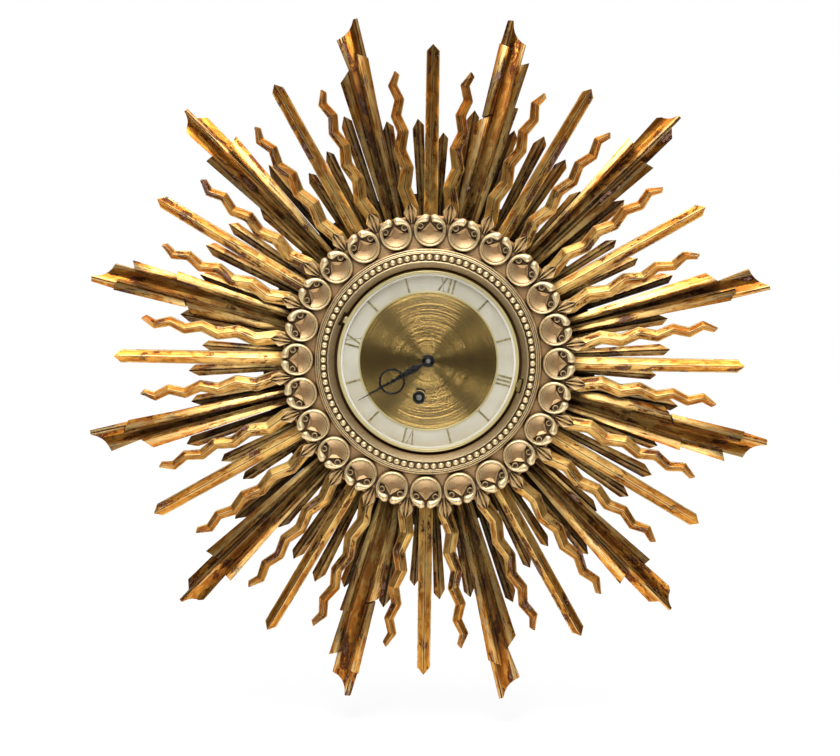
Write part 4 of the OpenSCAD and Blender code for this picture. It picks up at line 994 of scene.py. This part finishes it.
# A shallow button fills each volute
button_r = 2.1
button_edge = 4
button_floor = 3.3
button_bronze = bronze_gold("bronze gold of the buttons", ornament_floor + 3, ornament_floor + 8)
for hand, button_name in ((-1, "left_volute_buttons"), (1, "right_volute_buttons")):
    button = turned(button_name, [
        (0, ornament_floor), (button_r, ornament_floor), (button_r, ornament_floor + button_edge),
        (0, ornament_floor + button_floor)],
        segments=20, centre=(hand * centre.x, ornament_ring + centre.y))
    repeat_round(button, scroll_count, 0, 13, "bronze_gilt", button_bronze)

# The dished middle, with straight cuts beside the volutes that leave a peak between the knobs
dish_w = 12.6
dish_h = 12.6
dish_floor = 2.2
dish_edge = 4.9
peak = (0, 6.8)
notch = (7.6, -1.2)
dish_points = 72


def dish_ring(share, height):
    """An outline of the dish, drawn in to a share of its size, at a height over the ornament's floor."""
    ring = []
    cut = Vector((peak[1] - notch[1], notch[0] - peak[0])).normalized()
    for i in range(dish_points):
        turn = 2 * math.pi * i / dish_points
        x, y = math.sin(turn), math.cos(turn)
        reach = 1 / math.hypot(x / dish_w, y / dish_h)
        if y * notch[0] > notch[1] * abs(x):
            reach = min(reach, cut.y * peak[1] / (cut.x * abs(x) + cut.y * y))
        reach *= share
        ring.append(on_face(reach * x, ornament_ring + reach * y, ornament_floor + height))
    return ring


dish_rings = [dish_ring(1, 0), dish_ring(1, dish_edge - 0.3), dish_ring(0.97, dish_edge)]
for share in (0.88, 0.78, 0.66, 0.5, 0.3, 0.08):
    dish_rings.append(dish_ring(share, dish_floor + (dish_edge - dish_floor) * share ** 2))
dishes = skin("scroll_dishes", dish_rings)
bed_t = 2.6
beds = turned("scroll_beds", [
    (0, ornament_floor), (dish_w, ornament_floor), (dish_w, ornament_floor + bed_t),
    (0, ornament_floor + bed_t)], segments=40, centre=(0, ornament_ring))
dish_bronze = bronze_gold("bronze gold of the dishes", ornament_floor + 1.5, ornament_floor + 7)
repeat_round(dishes, scroll_count, 0, 10, "bronze_gilt", dish_bronze, "scroll_cups")
repeat_round(beds, scroll_count, 0, 12, "bronze_gilt", dish_bronze)


# Leaf buds
# A folded leaf shows between each pair of scrolls, over the edge of the moulding: a raised brim round a
# hollow, with a vein up the middle between two creases.
bud_floor, bud_top = levels("leaf_buds")
bud_foot = 124
bud_point = 141.5
bud_widest = 0.56
bud_half = 6.4
bud_foot_half = 2.4
bud_rows = 20
bud_columns = 20
rings = []
for i in range(bud_rows + 1):
    share = i / bud_rows
    radius = bud_foot + (bud_point - bud_foot) * share
    if share < bud_widest:
        half_w = bud_foot_half + (bud_half - bud_foot_half) * eased(share / bud_widest)
    else:
        half_w = bud_half * (1 - (share - bud_widest) / (1 - bud_widest)) ** 0.8 + 0.12
    crown = (bud_top - bud_floor) * (0.34 + 0.64 * math.sin(math.pi * (0.12 + 0.72 * share)))
    ring = []
    for j in range(bud_columns + 1):
        across = 2 * j / bud_columns - 1
        side = abs(across) * half_w
        vein = math.exp(-(side / 0.7) ** 2)
        crease = math.exp(-((side - 1.5) / 0.5) ** 2)
        brim = eased((abs(across) - 0.5) / 0.3)
        lift = crown * (0.42 + 0.58 * brim + 0.34 * vein - 0.16 * crease) * (1 - across ** 14)
        ring.append(on_face(half_w * across, radius, bud_floor + max(0.02, lift)))
    ring.append(on_face(half_w, radius, bud_floor))
    ring.append(on_face(-half_w, radius, bud_floor))
    rings.append(ring)
buds = skin("leaf_buds_gilt", rings)
bud_bronze = bronze_gold(
    "bronze gold of the buds", bud_floor + 1, 0.4 * bud_floor + 0.6 * bud_top, hollow=2)
repeat_round(buds, scroll_count, 180 / scroll_count, 11, "bronze_gilt", bud_bronze, "leaf_buds")


# Dial
# A silvered plate for the numerals and a thin brass disc fixed over its middle, turned in fine circles.
# A bright ring covers the joint, and a black grommet lines the winding hole.
def silvering():
    """Matt silvering, slightly yellowed, with fine circles and specks in it."""
    material, shader, maker, where = new_finish("silvered dial")
    fine = circle_noise(maker, 0.2, 2)
    cloud = noise(maker, where, 22 * MM, 3)
    speck = noise(maker, where, 0.8 * MM, 2)
    tone = cloud.between(0.3, 0.75).blend(linear(230, 222, 206), linear(216, 205, 184))
    tone = (speck.between(0.72, 0.76) * 0.6).blend(tone, linear(160, 146, 122))
    lay(shader, "Base Color", tone)
    lay(shader, "Roughness", 0.42 + 0.12 * fine)
    shader.inputs["Metallic"].default_value = 0.2
    bump(maker, shader, fine, 0.03 * MM)
    return material


def turned_brass(name, spacing, depth, dark, light, metal):
    """Brass with the fine circles of the lathe left in it."""
    material, shader, maker, where = new_finish(name)
    fine = circle_noise(maker, spacing, 0)
    band = circle_noise(maker, spacing * 9, 2)
    speck = noise(maker, where, 1.1 * MM, 3)
    tone = (fine * 0.6 + band * 0.4).between(0.34, 0.68).blend(dark, light)
    stained = speck.between(0.74, 0.78)
    tone = stained.blend(tone, linear(84, 70, 48))
    lay(shader, "Base Color", tone)
    lay(shader, "Roughness", 0.12 + 0.08 * fine + 0.3 * stained)
    shader.inputs["Metallic"].default_value = metal
    bump(maker, shader, fine, depth * MM)
    return material


finish_nodes(silvering(), "dial_plate")
disc_brass = turned_brass(
    "turned brass of the dial's middle", 0.6, 0.1, linear(206, 168, 96), linear(250, 214, 132), 1)
finish_nodes(disc_brass, "dial_centre")

brass_finish = turned_brass(
    "lacquered brass", 0.7, 0.02, linear(226, 194, 112), linear(252, 232, 166), 0.8)
bright_brass = turned_brass(
    "bright brass", 0.7, 0.02, linear(238, 216, 142), linear(255, 244, 194), 0.35)
disc_r = 60.6
trim_w = 1.4


def round_ring(name, inside, outside, node, segments=240, centre=(0, 0)):
    """A ring with rounded edges, as high as the CAD piece that it stands for."""
    foot, top = levels(node)
    corners = [(inside, foot), (outside, foot), (outside, top), (inside, top)]
    return turned(name, rounded(corners, 0.5), segments, centre)


trim = round_ring("dial_trim_ring", disc_r, disc_r + trim_w, "dial_trim")
put_on(trim, "frame", "brass", bright_brass, "dial_trim")


def black_enamel():
    material, shader, maker, where = new_finish("black enamel")
    ripple = noise(maker, where, 2.6 * MM, 3)
    dust = noise(maker, where, 0.5 * MM, 3)
    tone = dust.between(0.55, 0.8).blend(linear(7, 7, 6), linear(18, 17, 16))
    lay(shader, "Base Color", tone)
    lay(shader, "Roughness", 0.2 + 0.16 * ripple)
    bump(maker, shader, ripple, 0.02 * MM)
    return material


enamel = black_enamel()
winding_drop = 33.5
hole_r = 3.8
grommet_r = 5.6
grommet = round_ring(
    "winding_hole_grommet", hole_r, grommet_r, "winding_grommet", segments=64,
    centre=insert_turned(0, -winding_drop))
put_on(grommet, "frame", "black_enamel", enamel, "winding_grommet")


# Winding arrow
# A short two-headed arc printed in black on the brass, over the winding hole. It shows which way the
# key turns.
arrow_r = 7.6
arrow_half_w = 0.7
arrow_sweep = 36
arrow_steps = 16
head_start = 0.7
head_half_w = 1.5
arrow_z = levels("dial_centre")[1]
print_t = 0.08
rings = []
for i in range(arrow_steps + 1):
    share = 2 * i / arrow_steps - 1
    half_w = arrow_half_w
    if abs(share) >= head_start:
        half_w = head_half_w * (1 - abs(share)) / (1 - head_start) + 0.02
    turn = math.radians(arrow_sweep * share)
    ring = []
    for across, height in ((-half_w, 0), (half_w, 0), (half_w, print_t), (-half_w, print_t)):
        radius = arrow_r + across
        corner = insert_turned(radius * math.sin(turn), radius * math.cos(turn) - winding_drop)
        ring.append(on_face(*corner, arrow_z + height))
    rings.append(ring)
arrow = skin("winding_arrow", rings)
put_on(arrow, "frame", "black_enamel", enamel)


# Numerals
# Thin raised strokes of satin gilt brass, rivetted to the silvered ring.
def satin_gilt():
    material, shader, maker, where = new_finish("satin gilt numerals")
    cloud = noise(maker, where, 3 * MM, 3)
    lay(shader, "Base Color", cloud.between(0.3, 0.7).blend(linear(142, 128, 84), linear(196, 180, 130)))
    lay(shader, "Roughness", 0.35 + 0.2 * cloud)
    shader.inputs["Metallic"].default_value = 0.8
    bump(maker, shader, cloud, 0.03 * MM)
    return material


finish_nodes(satin_gilt(), "numerals")


# Hands and their nut
# Stamped steel hands in black enamel: a slender minute hand over an hour hand with an open ring. A small
# plain nut holds both.
hand_edge = 0.16
for hand_node, body in (("minute_hand", "minute_arbor"), ("hour_hand", "hour_pipe")):
    pointer = worked_copy(hand_node, hand_node + "_enamelled", hand_edge)
    put_on(pointer, body, "black_enamel", enamel, hand_node)


def plain_steel(name, light, dark, roughness):
    """Machined steel with fine file marks and a little dull grey."""
    material, shader, maker, where = new_finish(name)
    cloud = noise(maker, where, 5 * MM, 4)
    grain = noise(maker, where, 0.35 * MM, 3)
    lay(shader, "Base Color", cloud.between(0.3, 0.7).blend(light, dark))
    lay(shader, "Roughness", roughness + 0.15 * grain)
    shader.inputs["Metallic"].default_value = 0.95
    bump(maker, shader, grain, 0.02 * MM)
    return material


def blackened_nut():
    """Blackened steel, with the bright end of the arbor in the middle."""
    material, shader, maker, where = new_finish("blackened nut")
    black = circles(maker).between(1.6, 2.1)
    grain = noise(maker, where, 0.35 * MM, 3)
    lay(shader, "Base Color", black.blend(linear(150, 150, 148), linear(9, 9, 9)))
    lay(shader, "Metallic", 0.9 - 0.8 * black)
    lay(shader, "Roughness", 0.3 + 0.15 * grain)
    bump(maker, shader, grain, 0.02 * MM)
    return material


steel = plain_steel("plain steel", linear(206, 206, 204), linear(168, 168, 170), 0.28)
nut_edge = 0.2
nut = worked_copy("hand_nut", "hand_nut_turned", nut_edge)
put_on(nut, "minute_arbor", "steel", blackened_nut(), "hand_nut")


# Bezel and glass
# A rolled brass rim, hinged at the right, with a lift tab at the left. It holds a flat glass with a
# bevelled edge, kept in from behind by a thin ring.
bezel_back, bezel_front = levels("bezel")
glass_back, glass_front = levels("glass")
bezel_r = 81.2
glass_r = 79.2
sight_r = 78.4
bevel_r = sight_r - 2
glass_gap = 0.05
seat = glass_front + glass_gap
seat_r = glass_r + glass_gap
bezel_outline = rounded([
    (seat_r, bezel_back), (bezel_r, bezel_back), (bezel_r, bezel_front), (sight_r, bezel_front),
    (sight_r, seat), (seat_r, seat)], 1.3, 6)
bezel = turned("bezel_rim", bezel_outline, segments=300)
tab_half = 3
tab_reach = bezel_r + 3
tab_foot = bezel_front - 3
tab_t = 1.2
tab_root = bezel_r - 0.6
tab_shoulder = tab_reach - 0.8
tab_outline = [
    (tab_root, -tab_half), (tab_shoulder, -tab_half), (tab_reach, -0.6 * tab_half),
    (tab_reach, 0.6 * tab_half), (tab_shoulder, tab_half), (tab_root, tab_half)]
tab = skin("bezel_lift_tab", [
    [on_face(*insert_toward(tab_direction, out, side), height) for out, side in tab_outline]
    for height in (tab_foot, tab_foot + tab_t)])
rounding = tab.modifiers.new("rounding", "BEVEL")
rounding.width = 0.35 * MM
rounding.segments = 2
settle(tab)
soften(tab)
put_on(bezel, "bezel_door", "brass", bright_brass, "bezel")
put_on(tab, "bezel_door", "brass", bright_brass)


def window_glass():
    """Clear glass with a whitish matt ring on its bevel, a painted reflection, which lets the room's
    light through unchanged.
    """
    material, shader, maker, where = new_finish("clear glass")
    smear = noise(maker, where, 30 * MM, 2)
    lay(shader, "Roughness", 0.01 + 0.02 * smear)
    shader.inputs["Base Color"].default_value = (0.97, 0.985, 0.98, 1)
    shader.inputs["Transmission Weight"].default_value = 1
    shader.inputs["IOR"].default_value = 1.5
    bump(maker, shader, smear, 0.01 * MM)
    clear = maker.node("ShaderNodeBsdfTransparent", {}, {"Color": (0.97, 0.98, 0.975, 1)})
    lighting = of_rays(maker, "Is Shadow Ray", "Is Diffuse Ray")
    # A whitish matt ring on the bevel, painted in as its bright reflection
    bare_ground_and_painted_reflection = maker.node("ShaderNodeBsdfDiffuse", {}, {"Color": linear(250, 250, 244)})
    bevelled = circles(maker).between(bevel_r - 0.1, bevel_r + 0.1) * (0.3 + 0.4 * smear)
    polished = Signal(maker.tree, shader.outputs[0])
    pane = maker.node("ShaderNodeMixShader", {}, {0: bevelled, 1: polished, 2: bare_ground_and_painted_reflection})
    whole = maker.node("ShaderNodeMixShader", {}, {0: lighting, 1: pane, 2: clear})
    maker.tree.links.new(whole.socket, maker.tree.nodes["Material Output"].inputs["Surface"])
    return material


glass_t = glass_front - glass_back
pane = turned("bevelled_glass", [
    (0, glass_back), (glass_r, glass_back), (glass_r, glass_back + 0.5 * glass_t),
    (sight_r, glass_back + 0.62 * glass_t), (bevel_r, glass_front), (0, glass_front)])
put_on(pane, "bezel_door", "clear_glass", window_glass(), "glass")
finish_nodes(brass_finish, "glass_ring", "hinge_base", "hinge_leaf")
finish_nodes(steel, "hinge_pin")


# Case, strap and hanger at the back
# A spun brass can with a snap-on cover holds the movement. A steel strap screwed to the hub keeps it in,
# and a keyhole plate takes the hook in the wall.
spun_brass = turned_brass("spun brass", 1.4, 0.05, linear(186, 148, 78), linear(222, 186, 112), 0.95)
finish_nodes(spun_brass, "case_can", "back_cover", "dial_feet")
zinc = plain_steel("zinc plated steel", linear(196, 196, 192), linear(150, 150, 150), 0.4)
finish_nodes(zinc, "retaining_strap", "hanger_plate")
screw_steel = plain_steel("screw steel", linear(176, 174, 170), linear(120, 118, 116), 0.35)
finish_nodes(screw_steel, "strap_screws", "hanger_screws")


# Movement plates and posts
# Two stamped brass plates held apart by turned pillars with nuts.
finish_nodes(spun_brass, "front_plate", "back_plate", "balance_bush")
finish_nodes(steel, "pillars", "minute_stud")
finish_nodes(brass_finish, "pillar_nuts")


# Spring barrel
# The mainspring coils in a brass drum. Its arbor's square is wound from the front, and a ratchet with a
# sprung click holds it.
finish_nodes(spun_brass, "barrel", "barrel_lid")
blue = plain_steel("blued spring steel", linear(66, 80, 128), linear(40, 48, 84), 0.25)
finish_nodes(blue, "mainspring", "click_spring", "hairspring")
finish_nodes(steel, "click", "click_screw")
finish_nodes(screw_steel, "barrel_arbor")
# The ratchet wheel is painted near black, as painted shade where it shows through the winding hole
painted_shade_dark = plain_steel("oiled steel", linear(48, 46, 44), linear(30, 29, 28), 0.4)
finish_nodes(painted_shade_dark, "ratchet_wheel")


# Wheels, escapement and motion work
# Brass wheels on steel arbors, a steel pallet fork and a brass balance, and the gears that drive the
# hour hand from the minute hand.
finish_nodes(
    brass_finish, "second_wheel", "centre_wheel", "third_wheel", "fourth_wheel", "escape_wheel",
    "balance_wheel", "cannon_pinion", "minute_wheel", "hour_wheel")
finish_nodes(steel, "pallet_fork", "regulator")
